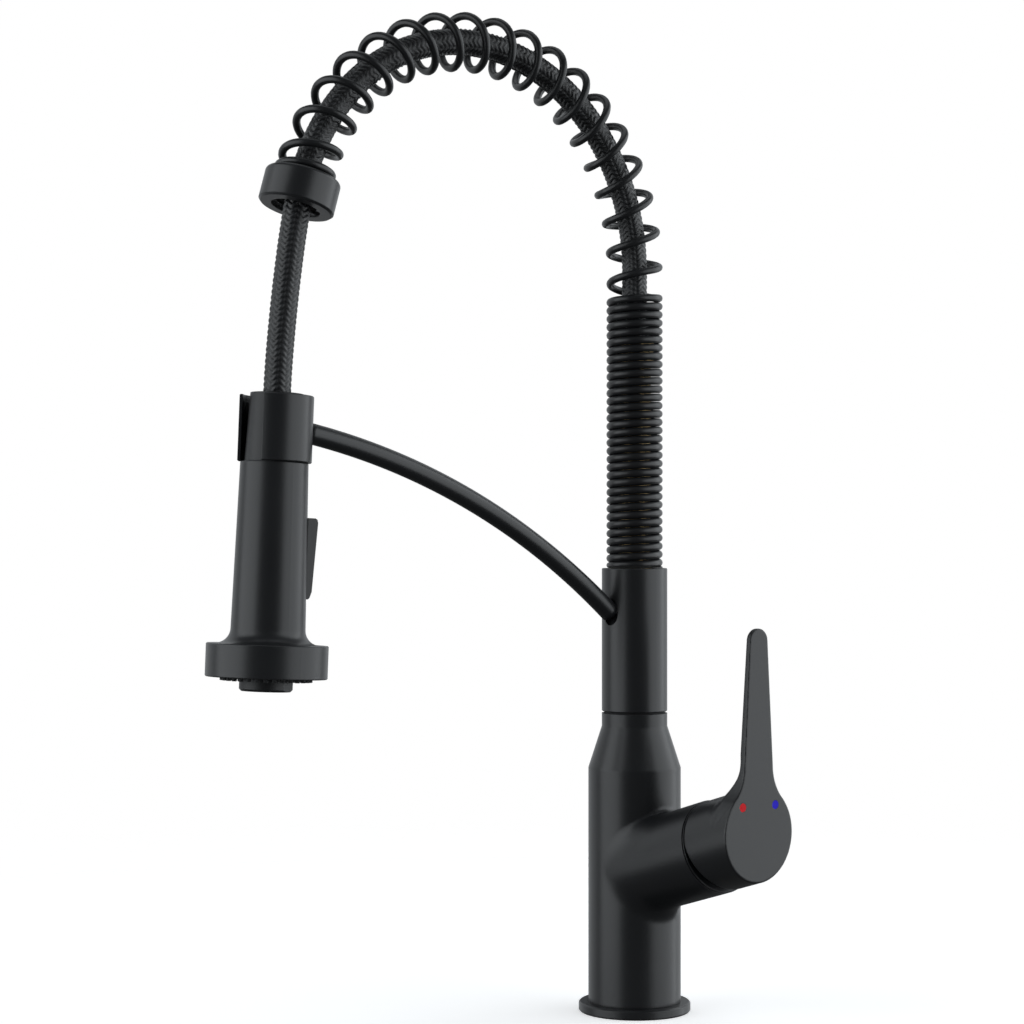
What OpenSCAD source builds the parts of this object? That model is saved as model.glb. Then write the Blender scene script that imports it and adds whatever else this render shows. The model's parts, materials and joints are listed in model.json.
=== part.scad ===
// Single-lever spring kitchen faucet with a pull-down spray.
// The origin is the centre of the base on the worktop, +Z is up, the spout reaches
// towards -Y and the handle points towards +X.

/* [Column] */
// Diameter of the base flange
flange_d = 58; // [50:1:70]
// Thickness of the base flange
flange_t = 5; // [4:0.5:8]
// Diameter of the lower column
body_d = 48; // [46:1:56]
// Height of the wide part of the column above the worktop
body_h = 126.3; // [115:0.1:160]
// Height of the cone between the wide column and the neck
cone_h = 21.6; // [12:0.1:30]
// Diameter of the neck and of the spout sleeve
neck_d = 34; // [32:0.5:40]
// Height of the straight neck under the swivel gap
neck_h = 6.7; // [4:0.1:15]
// Height of the swivel gap
swivel_gap = 1; // [0.6:0.1:2]
// Length of the spout sleeve
sleeve_h = 74.2; // [72:0.1:100]
// Thickness of the worktop that the fixings are drawn up to
deck_t = 20; // [10:1:25]
// Diameter of the threaded shank under the worktop
shank_d = 32; // [31:0.5:34]
// Length of the shank below the worktop
shank_l = 55; // [50:1:80]

/* [Handle] */
// Upward angle of the handle stub
stub_tilt = 16.8; // [10:0.2:22]
// Height of the stub axis at the centre of the column
stub_z = 72.4; // [66:0.2:85]
// Outer diameter of the handle stub
stub_d = 47.2; // [46.6:0.1:52]
// Length of the stub along its axis, from the centre of the column
stub_l = 65; // [64:0.5:72]
// Diameter of the handle hub
hub_d = 46; // [44:0.5:50]
// Distance from the column's centre to the flat face of the handle
face_x = 92; // [90:0.5:110]
// Lift of the lever from closed to fully open
lift_max = 14; // [8:0.5:14]
// Height of the tip of the lever above the centre of the hub face
lever_h = 101; // [80:1:130]
// Half of the lever's width at its tip
tip_w = 6.1; // [4:0.1:8]
// Half of the lever's width at its root
root_w = 9.8; // [8:0.1:12]
// Thickness of the lever at its root
lever_t = 4.2; // [3:0.1:6]
// Radius of the flare between lever and hub, seen from the front
flare_r = 24; // [16:1:30]
// Radius of the fillet behind the lever
back_r = 14; // [8:0.5:18]
// Diameter of the hot and cold marks
mark_d = 4.3; // [3:0.1:6]

/* [Cartridge] */
// Diameter of the cartridge
cart_d = 34.8; // [33:0.1:35.2]
// Depth of the cartridge seat along the stub, from the column's centre
seat_s = 26; // [24:0.5:28]
// Length of the wide part of the cartridge, seals included
cart_l = 24; // [24:0.5:26]
// Radius of the circle of water ports in the cartridge
port_r = 8.6; // [8:0.1:9.2]

/* [Spring and hose] */
// Outside diameter of the spring
spring_d = 29.3; // [28:0.1:32]
// Diameter of the spring wire
wire_d = 3.9; // [3:0.1:4.2]
// Number of closely wound turns
tight_n = 32.3; // [28:1:40]
// Pitch of the closely wound turns
tight_p = 4.29; // [4.25:0.01:5]
// Number of open turns over the arch
open_n = 18.3; // [14:0.1:22]
// Length of the straight open part of the spring
straight_h = 13.5; // [5:0.5:40]
// Radius of the arch, along the middle of the hose
arch_r = 105.7; // [95:0.1:130]
// Lean of the spring's end from the vertical
end_lean = 16.5; // [10:0.5:25]
// Diameter of the braided hose
hose_d = 12.7; // [11:0.1:13.4]
// Diameter of the rigid riser pipe inside the spring
riser_d = 17; // [15:0.5:18]

/* [Collar] */
// Diameter of the spring's end collar
collar_d = 36; // [32:0.2:40]
// Length of the collar
collar_h = 14.8; // [13:0.1:20]
// Height of the collar's lip round the spring's last turn
collar_lip = 1.4; // [0.6:0.1:1.8]

/* [Holder and arm] */
// Drop of the spray's top below the end of the spring
dock_drop = 101; // [85:1:130]
// Further reach of the spray's top, beyond the end of the spring
dock_out = 14.5; // [5:0.5:25]
// Lean of the spray from the vertical
wand_lean = 2.6; // [0:0.2:8]
// Outer diameter of the holder clip
clip_d = 34.5; // [34:0.1:40]
// Wall of the holder clip
clip_wall = 1.5; // [1.2:0.1:2]
// Height of the holder clip
clip_h = 31.1; // [28:0.1:36]
// Half of the angle left open at the front of the clip
clip_open = 36.4; // [30:0.2:45]
// Diameter of the support arm
arm_d = 10; // [8:0.2:11]
// Radius of the arm's curve
arm_r = 412; // [300:1:900]
// Height at which the arm enters the sleeve, above the sleeve's lower end
arm_up = 51.4; // [51:0.1:56]

/* [Spray] */
// Length of the spray from the top of its neck to its face
wand_l = 131.7; // [128:0.1:160]
// Diameter of the neck at its top
neck_top_d = 24.6; // [24:0.1:26]
// Diameter of the neck at its foot
neck_foot_d = 27.8; // [27:0.1:28.4]
// Diameter of the grip under the holder
grip_top_d = 31.6; // [31:0.1:34]
// Diameter of the grip above the head
grip_foot_d = 34.6; // [34:0.1:40]
// Diameter of the spray head
head_d = 56.6; // [54:0.2:70]
// Height of the spray head
head_h = 15.5; // [14:0.1:20]
// Radius between grip and head
head_fillet = 7; // [4:0.5:9]
// Diameter of the aerator housing
aerator_d = 24.8; // [23:0.1:26]
// Length of the aerator below the spray face
aerator_out = 6.3; // [4:0.1:9]
// Number of outer spray nozzles
nozzle_n = 32; // [20:1:36]
// Number of inner spray nozzles
inner_n = 22; // [12:1:26]
// Width of the rocker button
rocker_w = 16; // [12:0.5:18]
// Length of the rocker button
rocker_l = 37.8; // [34:0.1:42]
// Distance from the neck's top to the rocker's pin
rocker_at = 76; // [74:0.5:80]
// Tilt of the rocker from stream to spray
rocker_max = 7; // [4:0.5:8]

/* [Hidden] */
$fn = 64;
slip = 0.05;              // running clearance on a radius
seat_gap = 0.1;           // gap between pieces that seat on each other

// Levels along the column
body_top = body_h + cone_h + neck_h;
sleeve_z = body_top + swivel_gap;
sleeve_top = sleeve_z + sleeve_h;
tight_z = sleeve_top + wire_d / 2;
tight_top = tight_z + tight_n * tight_p;
arch_z = tight_top + straight_h;
floor_z = flange_t;       // lower end of the column

// Threads and bores of the body
thread_r = 15;
shank_r = shank_d / 2;
shank_bore = 12.8;
body_bore_top = 25;
port_x = 3;               // place of the two hose ports
port_y = 6.2;
port_thread_r = 5;
port_thread_l = 14;
drill_r = 3.5;
spigot_r = 19.9;
spigot_h = 3.5;
post_r = 11;
post_bore = 6;
post_z = body_top - 32.6;
post_top = sleeve_z + 38.4;

// Cartridge levels along the stub
base_s = seat_s + 2;                  // underside of the cartridge
disc_s = base_s + 3;                  // underside of the fixed disc
shoulder_s = seat_s + cart_l;         // shoulder under the retaining nut, and pin height
neck_s = shoulder_s + 7;
cart_r = cart_d / 2;
chamber_r = cart_r - 2.4;
rotor_r = cart_r - 4.9;
cap_r = stub_d / 2 - 2.3;             // thread of nut and bonnet
ports = [[6, port_y], [6, -port_y], [-port_r + 0.6, 0]];
stem_w = 7.6;
pin_r = 1.5;
ball_r = 2.6;
ball_arm = shoulder_s - disc_s - 6.2 - ball_r;  // from the stem's pin to its ball
ring_t = 0.9;                         // visible thickness of the bonnet ring
hub_r = hub_d / 2;
hub_s = stub_l + ring_t + 0.4;        // back of the hub
bonnet_bore = 11.5;
boss_r = 8.5;
boss_s = hub_s + 3.7;
face_z = stub_z + face_x * tan(stub_tilt);

// Swivel joint levels
land_r = 11.35;
land_z = sleeve_z + 18.9;
land_h = 15;
socket_r = 13.45;
chamber_top = sleeve_z + 40.4;
riser_z = sleeve_z + 50.4;
riser_top = tight_top - 25;
riser_r = riser_d / 2;
coil_r = (spring_d - wire_d) / 2;
coil_in = spring_d / 2 - wire_d;
seat_ring_r = spring_d / 2 + 0.35;
seat_ring_h = 3.8;
hose_r = hose_d / 2;
ferrule_r = hose_r + 1.25;

// The arch: end point, as reach from the column and height
arch_a = 180 - end_lean;
end_t = arch_r * (1 - cos(arch_a));
end_z = arch_z + arch_r * sin(arch_a);
arch_l = straight_h + arch_r * arch_a * PI / 180;
open_p = (arch_l - wire_d / 2 - tight_p) / open_n;
dock_t = end_t + dock_out;
dock_z = end_z - dock_drop;

// The arm's curve, through the sleeve and the back of the clip
clip_r = clip_d / 2;
clip_in = clip_r - clip_wall;
clip_top = 0.8;                       // neck standing out of the clip
arm_rad = arm_d / 2;
clip_mid = 17;                        // depth of the arm's end below the neck's top
arm_t1 = neck_d / 2;
arm_z1 = sleeve_z + arm_up;
arm_t2 = dock_t + clip_mid * sin(wand_lean) - clip_r * cos(wand_lean);
arm_z2 = dock_z - clip_mid * cos(wand_lean) - clip_r * sin(wand_lean);
arm_chord = norm([arm_t2 - arm_t1, arm_z2 - arm_z1]);
arm_dir = [arm_t2 - arm_t1, arm_z2 - arm_z1] / arm_chord;
arm_sink = sqrt(arm_r * arm_r - arm_chord * arm_chord / 4);
arm_c = [(arm_t1 + arm_t2) / 2 + arm_dir[1] * arm_sink,
         (arm_z1 + arm_z2) / 2 - arm_dir[0] * arm_sink];
arm_a1 = atan2(arm_z1 - arm_c[1], arm_t1 - arm_c[0]);
arm_a2 = atan2(arm_z2 - arm_c[1], arm_t2 - arm_c[0]);
arm_root_a = 5.6 / arm_r * 180 / PI;  // the arm's length inside the sleeve's wall
arm_bolt_r = 2;

// Spray levels, as depths below the top of the neck
grip_d0 = clip_top + clip_h + 0.1;
head_d0 = wand_l - head_h;
grip_end = head_d0 - head_fillet;
grip_in = grip_top_d / 2 - 1.6;
joint_r = neck_foot_d / 2;
joint_d = grip_d0 + 14;
plate_r = head_d / 2 - 2.1;
plate_t = 3.6;
plate_d = wand_l - 0.3 - plate_t;
nozzle_r = 1.1;
nozzle_out = 1.6;
ring_r = aerator_d / 2 + 7.9;
inner_r = aerator_d / 2 + 3.5;
neck_bore = 9.7;
nut_d = 21;
nut_l = 10;
inlet_r = 6;
inlet_d = nut_d + 2;
flange_d0 = grip_d0 + 4;
core_r = grip_in - 1.8;
core_d0 = flange_d0 + 11;
spool_r = 4.5;
spool_l = 34;
pin_y = 12.6;
finger_y = 3.9;
rocker_in = 14.6;
rocker_clear = rocker_in - rocker_l / 2 * sin(rocker_max) - 2.9;  // kept free behind the rocker

// Shared shapes and places

module ring(z0, z1, r_out, r_in) {
    translate([0, 0, z0])
        difference() {
            cylinder(h = z1 - z0, r = r_out);
            translate([0, 0, -1]) cylinder(h = z1 - z0 + 2, r = r_in);
        }
}

module torus(z, r, tube) {
    translate([0, 0, z]) rotate_extrude() translate([r, 0]) circle(r = tube);
}

// A turned piece with both outer edges broken by a chamfer
module turned(z0, z1, r_out, r_in, edge) {
    rotate_extrude()
        polygon([
            [r_in, z0], [r_out - edge, z0], [r_out, z0 + edge],
            [r_out, z1 - edge], [r_out - edge, z1], [r_in, z1]]);
}

// The stub's frame: z runs out along the stub, x points down
module on_stub() {
    translate([0, 0, stub_z]) rotate([0, 90 - stub_tilt, 0]) children();
}

// The collar's frame: z runs down along the hose from the end of the spring
module on_collar() {
    translate([0, -end_t, end_z]) rotate([arch_a, 0, 0]) children();
}

// The spray's frame: z = 0 is the top of the neck, and the spray lies below it
module on_wand() {
    translate([0, -dock_t, dock_z]) rotate([-wand_lean, 0, 0]) children();
}

// A ring of the spray, between two depths
module drum(d0, d1, r_out, r_in) {
    ring(-d1, -d0, r_out, r_in);
}

// A stretch of the arm's curve, between two angles round its centre
module arm_curve(a0, a1, r) {
    translate([0, -arm_c[0], arm_c[1]])
        rotate([90, 0, -90])
            rotate([0, 0, a0])
                rotate_extrude(angle = a1 - a0) translate([arm_r, 0]) circle(r = r);
}

// Column and fixings

module base_flange() {
    color("#2b2d30")
        difference() {
            turned(0, flange_t, flange_d / 2, spigot_r + slip, 0.7);
            ring(-1, 2.2, body_d / 2 + 2.5, body_d / 2 - 2);
        }
}

module base_seal() {
    color("#151515") ring(0, 2, body_d / 2 + 2.3, body_d / 2 - 1.8);
}

module valve_body() {
    color("#2b2d30")
        difference() {
            union() {
                translate([0, 0, floor_z]) cylinder(h = body_h - floor_z, d = body_d);
                translate([0, 0, body_h]) cylinder(h = cone_h, d1 = body_d, d2 = neck_d);
                translate([0, 0, body_h + cone_h]) cylinder(h = neck_h, d = neck_d);
                translate([0, 0, floor_z - spigot_h]) cylinder(h = spigot_h + 1, r = spigot_r);
                on_stub() cylinder(h = stub_l, d = stub_d);
            }
            translate([0, 0, -1]) cylinder(h = body_bore_top + 1, r = thread_r + slip);
            for (side = [-1, 1]) translate([port_x, side * port_y, 0]) {
                translate([0, 0, body_bore_top - 1])
                    cylinder(h = port_thread_l + 1, r = port_thread_r);
                translate([0, 0, body_bore_top])
                    cylinder(h = stub_z - body_bore_top - 5, r = drill_r);
            }
            on_stub() {
                for (p = [ports[0], ports[1]]) translate([p[0], p[1], 1])
                    cylinder(h = seat_s, r = 3);
                translate([ports[2][0], 0, 0]) cylinder(h = seat_s + 1, r = 3.5);
                translate([0, 0, seat_s]) cylinder(h = stub_l, r = cart_r + 0.2);
                translate([0, 0, shoulder_s]) cylinder(h = stub_l, r = cap_r + slip);
            }
            translate([0, 0, stub_z + 6.5]) cylinder(h = body_top - stub_z, r = post_bore);
            translate([0, 0, post_z]) cylinder(h = body_top, r = post_r + slip);
        }
}

module mounting_shank() {
    color("#b08d57")
        difference() {
            union() {
                translate([0, 0, -shank_l]) cylinder(h = shank_l + 1.2, r = shank_r);
                cylinder(h = body_bore_top - 3, r = thread_r);
            }
            translate([0, 0, -shank_l - 1]) cylinder(h = shank_l + 40, r = shank_bore);
        }
}

module deck_gasket() {
    color("#151515") ring(-deck_t - 3, -deck_t, shank_r + 8.5, shank_r + 0.4);
}

module clamp_washer() {
    color("#b9bbbd")
        difference() {
            ring(-deck_t - 5, -deck_t - 3, shank_r + 9, shank_r + 0.4);
            translate([0, shank_r + 5, -deck_t - 4]) cube([5, 12, 4], center = true);
        }
}

module mounting_nut() {
    color("#b08d57")
        difference() {
            union() {
                translate([0, 0, -deck_t - 20]) cylinder(h = 6, r = shank_r + 7, $fn = 6);
                translate([0, 0, -deck_t - 14]) cylinder(h = 6, r = shank_r + 9);
            }
            translate([0, 0, -deck_t - 30]) cylinder(h = 40, r = shank_r + slip);
            screw_ring() translate([0, 0, -deck_t - 30]) cylinder(h = 40, r = 2.55);
        }
}

module screw_ring() {
    for (i = [0:2]) rotate([0, 0, 120 * i + 30]) translate([shank_r + 5.2, 0, 0]) children();
}

module clamp_screws() {
    color("#8e9092")
        screw_ring()
            difference() {
                union() {
                    translate([0, 0, -deck_t - 22]) cylinder(h = 16.9, r = 2.5);
                    translate([0, 0, -deck_t - 25]) cylinder(h = 3, r = 4.2);
                }
                translate([0, 0, -deck_t - 25]) cube([10, 1.2, 2], center = true);
            }
}

// Cartridge

module cartridge_seals() {
    color("#7a1f1f")
        on_stub()
            for (p = ports) translate([p[0], p[1], 0]) ring(seat_s, base_s, 5.2, 3.6);
}

module cartridge_base() {
    color("#e8e6df")
        on_stub()
            difference() {
                translate([0, 0, base_s]) cylinder(h = 3, r = cart_r);
                for (p = ports) translate([p[0], p[1], base_s - 1]) cylinder(h = 5, r = 3);
            }
}

module cartridge_housing() {
    color("#dcdad2")
        on_stub()
            difference() {
                union() {
                    translate([0, 0, disc_s]) cylinder(h = shoulder_s - disc_s, r = cart_r);
                    translate([0, 0, disc_s]) cylinder(h = neck_s - disc_s, r = rotor_r + 2);
                }
                translate([0, 0, disc_s - 1]) cylinder(h = 13, r = chamber_r);
                translate([0, 0, disc_s]) cylinder(h = 40, r = rotor_r + slip);
            }
}

module fixed_disc() {
    color("#f2f0ea")
        on_stub()
            difference() {
                translate([0, 0, disc_s]) cylinder(h = 3, r = chamber_r - 0.2);
                for (p = ports) translate([p[0], p[1], disc_s - 1]) cylinder(h = 5, r = 2.8);
            }
}

module retaining_nut() {
    color("#b08d57")
        on_stub()
            difference() {
                ring(shoulder_s, neck_s - 0.5, cap_r, rotor_r + 2.2);
                for (i = [0:3]) rotate([0, 0, 90 * i + 45])
                    translate([cap_r - 2, 0, neck_s - 0.5]) cube([8, 4, 4], center = true);
            }
}

module bonnet_ring() {
    color("#2b2d30")
        on_stub() {
            ring(neck_s + 0.2, stub_l, cap_r, cap_r - 1.8);
            turned(stub_l + seat_gap, stub_l + ring_t, hub_r + 0.2, bonnet_bore, 0.3);
            ring(stub_l - 0.8, stub_l + 0.2, cap_r - 1, bonnet_bore);
        }
}

module cartridge_rotor() {
    color("#c9c6bb")
        on_stub()
            difference() {
                union() {
                    translate([0, 0, disc_s + 9.6]) cylinder(h = 2.2, r = chamber_r - 0.3);
                    translate([0, 0, disc_s + 10]) cylinder(h = neck_s - disc_s - 10.4, r = rotor_r);
                    for (side = [-1, 1]) translate([0, side * (rotor_r + 0.6), disc_s + 7.5])
                        cube([8, 1.6, 5], center = true);
                }
                translate([0, 0, shoulder_s]) cube([14, stem_w + 1, 40], center = true);
                translate([0, 0, shoulder_s]) rotate([90, 0, 0])
                    cylinder(h = 60, r = pin_r + 0.02, center = true);
            }
}

module stem_pin() {
    color("#b9bbbd")
        on_stub()
            translate([0, 0, shoulder_s]) rotate([90, 0, 0])
                cylinder(h = 2 * rotor_r - 1, r = pin_r, center = true);
}

module moving_disc() {
    color("#f2f0ea")
        on_stub()
            difference() {
                translate([0, 0, disc_s + 3.1]) cylinder(h = 3, r = 10.5);
                translate([-1.5, 0, disc_s + 3]) cylinder(h = 1.9, r = 7.6);
            }
}

module disc_driver() {
    color("#c9c6bb")
        on_stub()
            difference() {
                union() {
                    translate([0, 0, disc_s + 6.1]) cylinder(h = 3.2, r = 10.5);
                    translate([-3, -rotor_r + 0.3, disc_s + 6.1]) cube([6, 2 * rotor_r - 0.6, 3.2]);
                }
                translate([0, 0, disc_s + 5]) cylinder(h = 9, r = ball_r + seat_gap);
            }
}

module thrust_washer() {
    color("#151515") ring(body_top, sleeve_z - seat_gap, neck_d / 2 - 1.2, post_r + 0.3);
}

module swivel_post() {
    color("#b08d57")
        difference() {
            translate([0, 0, post_z]) cylinder(h = post_top - post_z, r = post_r);
            translate([0, 0, post_z - 1]) cylinder(h = 200, r = post_bore);
            for (z = [land_z + 2.2, land_z + 9.2]) ring(z, z + 2.6, post_r + 1, post_r - 2.05);
            ring(land_z + land_h + 0.4, land_z + land_h + 2, post_r + 1, post_r - 1.5);
        }
}

module swivel_bushes() {
    color("#e8e6df") {
        ring(sleeve_z + 1, sleeve_z + 6.5, socket_r - slip, post_r + slip);
        ring(land_z - 6, land_z - 0.5, socket_r - slip, post_r + slip);
    }
}

module swivel_orings() {
    color("#151515")
        for (z = [land_z + 3.5, land_z + 10.5]) torus(z, post_r - 0.85, 1.15);
}

module retaining_clip() {
    color("#b9bbbd")
        difference() {
            ring(land_z + land_h + 0.5, land_z + land_h + 1.9, 13, post_r - 1.4);
            translate([0, post_r, land_z + land_h + 1]) cube([6, 8, 6], center = true);
        }
}

// Handle

module flare_side() {
    // Centre of the flare's circle, tangent to the lever and to the hub
    flare_x = root_w + flare_r;
    flare_z = sqrt(pow(hub_r + 0.5 + flare_r, 2) - flare_x * flare_x);
    toe = (hub_r + 0.5) / (hub_r + 0.5 + flare_r);
    difference() {
        polygon([
            [-flare_x * toe, flare_z * toe], [-root_w, flare_z],
            [root_w, flare_z], [flare_x * toe, flare_z * toe], [0, 0]]);
        for (side = [-1, 1]) translate([side * flare_x, flare_z]) circle(r = flare_r);
    }
    polygon([
        [-root_w, flare_z - 0.1], [-tip_w, lever_h - tip_w],
        [tip_w, lever_h - tip_w], [root_w, flare_z - 0.1]]);
    translate([0, lever_h - tip_w]) circle(r = tip_w);
}

module lever_blade() {
    slope = atan2(1.2, lever_h - hub_r);
    difference() {
        translate([face_x - lever_t, 0, face_z]) rotate([90, 0, 90])
            linear_extrude(height = lever_t) flare_side();
        translate([face_x - lever_t, 0, face_z + hub_r + 8])
            rotate([0, slope, 0]) translate([-20, -30, 0]) cube([20, 60, lever_h]);
    }
}

module back_fillet() {
    // Fillet between the lever's back and the top of the hub, in the plane of the stub
    root_x = face_x - lever_t;
    cx = root_x - back_r;
    top_line = stub_z + hub_r / cos(stub_tilt);
    cz = top_line + cx * tan(stub_tilt) + back_r / cos(stub_tilt);
    toe_x = cx + back_r * sin(stub_tilt);
    translate([0, root_w, 0]) rotate([90, 0, 0])
        linear_extrude(height = 2 * root_w)
            difference() {
                polygon([
                    [toe_x, cz - back_r], [toe_x + 2, cz - back_r - 12],
                    [root_x + 1, cz - back_r - 12], [root_x + 1, cz], [root_x, cz],
                    [cx, cz]]);
                translate([cx, cz]) circle(r = back_r);
            }
}

module lever_handle() {
    color("#2b2d30")
        difference() {
            union() {
                difference() {
                    on_stub() translate([0, 0, hub_s]) cylinder(h = face_x, r = hub_r);
                    translate([face_x, -50, 0]) cube([100, 100, 300]);
                }
                lever_blade();
                back_fillet();
            }
            on_stub() {
                // Room under the hub, so that it can tip down on to the bonnet
                translate([0, 0, shoulder_s]) rotate([0, -lift_max, 0])
                    translate([-4, -40, stub_l + ring_t + 0.2 - shoulder_s - 20])
                        cube([60, 80, 20]);
                difference() {
                    translate([0, 0, hub_s - 1]) cylinder(h = 10, r = hub_r - 2.5);
                    translate([0, 0, boss_s]) cylinder(h = 20, r = boss_r);
                }
                translate([0, 0, boss_s + 5])
                    cube([stem_w + 0.1, stem_w + 0.1, 12], center = true);
                translate([0, 0, boss_s + 8]) rotate([0, 90, 0]) cylinder(h = 40, r = 2.05);
                translate([hub_r - 2.4, 0, boss_s + 8]) rotate([0, 90, 0])
                    cylinder(h = 10, r = 2.45);
            }
            marks(0.6, mark_d / 2 + 0.02);
        }
}

module marks(depth, r) {
    for (side = [-1, 1]) mark(side, depth, r);
}

module mark(side, depth, r) {
    translate([face_x - depth, side * 11.1, face_z + 13.8])
        rotate([0, 90, 0]) cylinder(h = depth, r = r);
}

module cartridge_stem() {
    color("#b9bbbd")
        on_stub()
            difference() {
                union() {
                    translate([0, 0, (shoulder_s - 6 + boss_s + 10.9) / 2])
                        cube([stem_w, stem_w, boss_s + 16.9 - shoulder_s], center = true);
                    translate([0, 0, shoulder_s - ball_arm]) cylinder(h = ball_arm - 5, r = 2);
                    translate([0, 0, shoulder_s - ball_arm]) sphere(r = ball_r);
                }
                translate([0, 0, shoulder_s]) rotate([90, 0, 0])
                    cylinder(h = 20, r = pin_r + slip, center = true);
            }
}

module grub_screw() {
    color("#8e9092")
        on_stub()
            translate([stem_w / 2 + seat_gap, 0, boss_s + 8]) rotate([0, 90, 0])
                difference() {
                    cylinder(h = 8, r = 2);
                    translate([0, 0, 5]) cylinder(h = 4, r = 1.1, $fn = 6);
                }
}

module screw_plug() {
    color("#2b2d30")
        on_stub()
            translate([hub_r - 2.3, 0, boss_s + 8]) rotate([0, 90, 0]) cylinder(h = 2.1, r = 2.4);
}

module hot_mark() {
    color("red") mark(-1, 0.6, mark_d / 2);
}

module cold_mark() {
    color("blue") mark(1, 0.6, mark_d / 2);
}

// Spout

module spout_sleeve() {
    color("#2b2d30")
        difference() {
            turned(sleeve_z, sleeve_top, neck_d / 2, 1, 0.4);
            translate([0, 0, sleeve_z - 1]) cylinder(h = land_z - sleeve_z + 1, r = socket_r);
            translate([0, 0, sleeve_z]) cylinder(h = chamber_top - sleeve_z, r = land_r);
            translate([0, 0, land_z + land_h])
                cylinder(h = chamber_top - land_z - land_h, r = socket_r);
            translate([0, 0, sleeve_z]) cylinder(h = sleeve_h - 10, r = post_bore);
            translate([0, 0, riser_z]) cylinder(h = sleeve_h, r = riser_r + 0.5);
            translate([0, 0, sleeve_top - seat_ring_h - 0.1])
                cylinder(h = 20, r = seat_ring_r + slip);
            arm_curve(arm_a1 - 1, arm_a1 + arm_root_a, arm_rad + 0.02);
        }
}

module riser_pipe() {
    color("#b08d57")
        difference() {
            union() {
                translate([0, 0, riser_z]) cylinder(h = riser_top - riser_z, r = riser_r);
                translate([0, 0, riser_z]) cylinder(h = 18, r = riser_r + 0.45);
            }
            translate([0, 0, riser_z - 1]) cylinder(h = 500, r = post_bore);
        }
}

module spring_seat() {
    color("#e8e6df")
        ring(sleeve_top - seat_ring_h, sleeve_top - seat_gap, seat_ring_r, riser_r + 0.6);
}

// Middle of the spring at a length u above the close winding: reach, height, heading
function on_arch(u) =
    u < straight_h
        ? [0, tight_top + u, 0]
        : let (h = (u - straight_h) / arch_r * 180 / PI)
          [arch_r * (1 - cos(h)), arch_z + arch_r * sin(h), h];

// Length along the spring after v turns: close, then open, then one closed turn
function wound(v) =
    v < tight_n ? (v - tight_n) * tight_p
    : v < tight_n + open_n ? (v - tight_n) * open_p
    : open_n * open_p + (v - tight_n - open_n) * tight_p;

turns = tight_n + open_n + 0.9;
start_a = 75 - 360 * tight_n;     // the wire crosses the top of the winding here

function coil_out(v) =
    let (m = on_arch(wound(v)), a = start_a + 360 * v)
    [cos(a), sin(a) * cos(m[2]), sin(a) * sin(m[2])];

function coil_at(v) =
    let (m = on_arch(wound(v)))
    [0, -m[0], m[1]] + coil_r * coil_out(v);

function unit(v) = v / norm(v);

module swept_rod(points, outs, r, sides) {
    n = len(points);
    rings = [for (i = [0:n - 1])
        let (t = unit(points[min(i + 1, n - 1)] - points[max(i - 1, 0)]),
             b = unit(cross(t, outs[i])),
             o = cross(b, t))
        for (k = [0:sides - 1])
            points[i] + r * (cos(360 * k / sides) * o + sin(360 * k / sides) * b)];
    walls = [for (i = [0:n - 2], k = [0:sides - 1])
        let (k2 = (k + 1) % sides)
        [i * sides + k, i * sides + k2, (i + 1) * sides + k2, (i + 1) * sides + k]];
    first = [for (k = [sides - 1:-1:0]) k];
    last = [for (k = [0:sides - 1]) (n - 1) * sides + k];
    polyhedron(points = rings, faces = concat(walls, [first, last]), convexity = 20);
}

module spring() {
    tight_steps = floor(tight_n * 14);
    open_steps = ceil((turns - tight_n) * 18);
    steps = concat(
        [for (i = [0:tight_steps - 1]) i * tight_n / tight_steps],
        [for (i = [0:open_steps]) tight_n + i * (turns - tight_n) / open_steps]);
    color("#232528")
        swept_rod([for (v = steps) coil_at(v)], [for (v = steps) coil_out(v)], wire_d / 2, 6);
}

module hose_coupling() {
    color("#b08d57")
        ring(riser_top - 10, riser_top + 4, coil_in - 0.6, riser_r + slip);
}

module riser_ferrule() {
    color("#b9bbbd") ring(riser_top + 0.2, riser_top + 18, ferrule_r, hose_r + 0.15);
}

// Free stretch of the hose, from the spring's end to the neck, as a cubic curve
hose_pull = 36;
hose_in = 16;
free_a = [end_t, end_z];
free_b = free_a + hose_pull * [sin(arch_a), cos(arch_a)];
free_d = [dock_t, dock_z];
free_c = free_d - hose_pull * [sin(wand_lean), -cos(wand_lean)];
free_n = 12;

function free_at(s) =
    pow(1 - s, 3) * free_a + 3 * pow(1 - s, 2) * s * free_b
    + 3 * (1 - s) * s * s * free_c + pow(s, 3) * free_d;

hose_line = concat(
    [[0, riser_top + 1], [0, tight_top], [0, arch_z]],
    [for (h = [6:6:arch_a - 3]) [arch_r * (1 - cos(h)), arch_z + arch_r * sin(h)]],
    [for (i = [0:free_n]) free_at(i / free_n)],
    [free_d + hose_in * [sin(wand_lean), -cos(wand_lean)]]);

module hose() {
    color("#1b1c1e")
        swept_rod([for (p = hose_line) [0, -p[0], p[1]]], [for (p = hose_line) [1, 0, 0]],
                  hose_r, 12);
}

module support_arm() {
    color("#2b2d30")
        difference() {
            arm_curve(arm_a1 + arm_root_a - 0.02, arm_a2, arm_rad);
            on_wand() translate([0, 0, -60]) cylinder(h = 80, r = clip_r);
            at_arm_end() cylinder(h = 24, r = arm_bolt_r + slip, center = true);
        }
}

// The arm's end at the clip: z runs into the clip, square to its wall
module at_arm_end() {
    translate([0, -arm_t2, arm_z2]) rotate([90 - wand_lean, 0, 0]) children();
}

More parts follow.
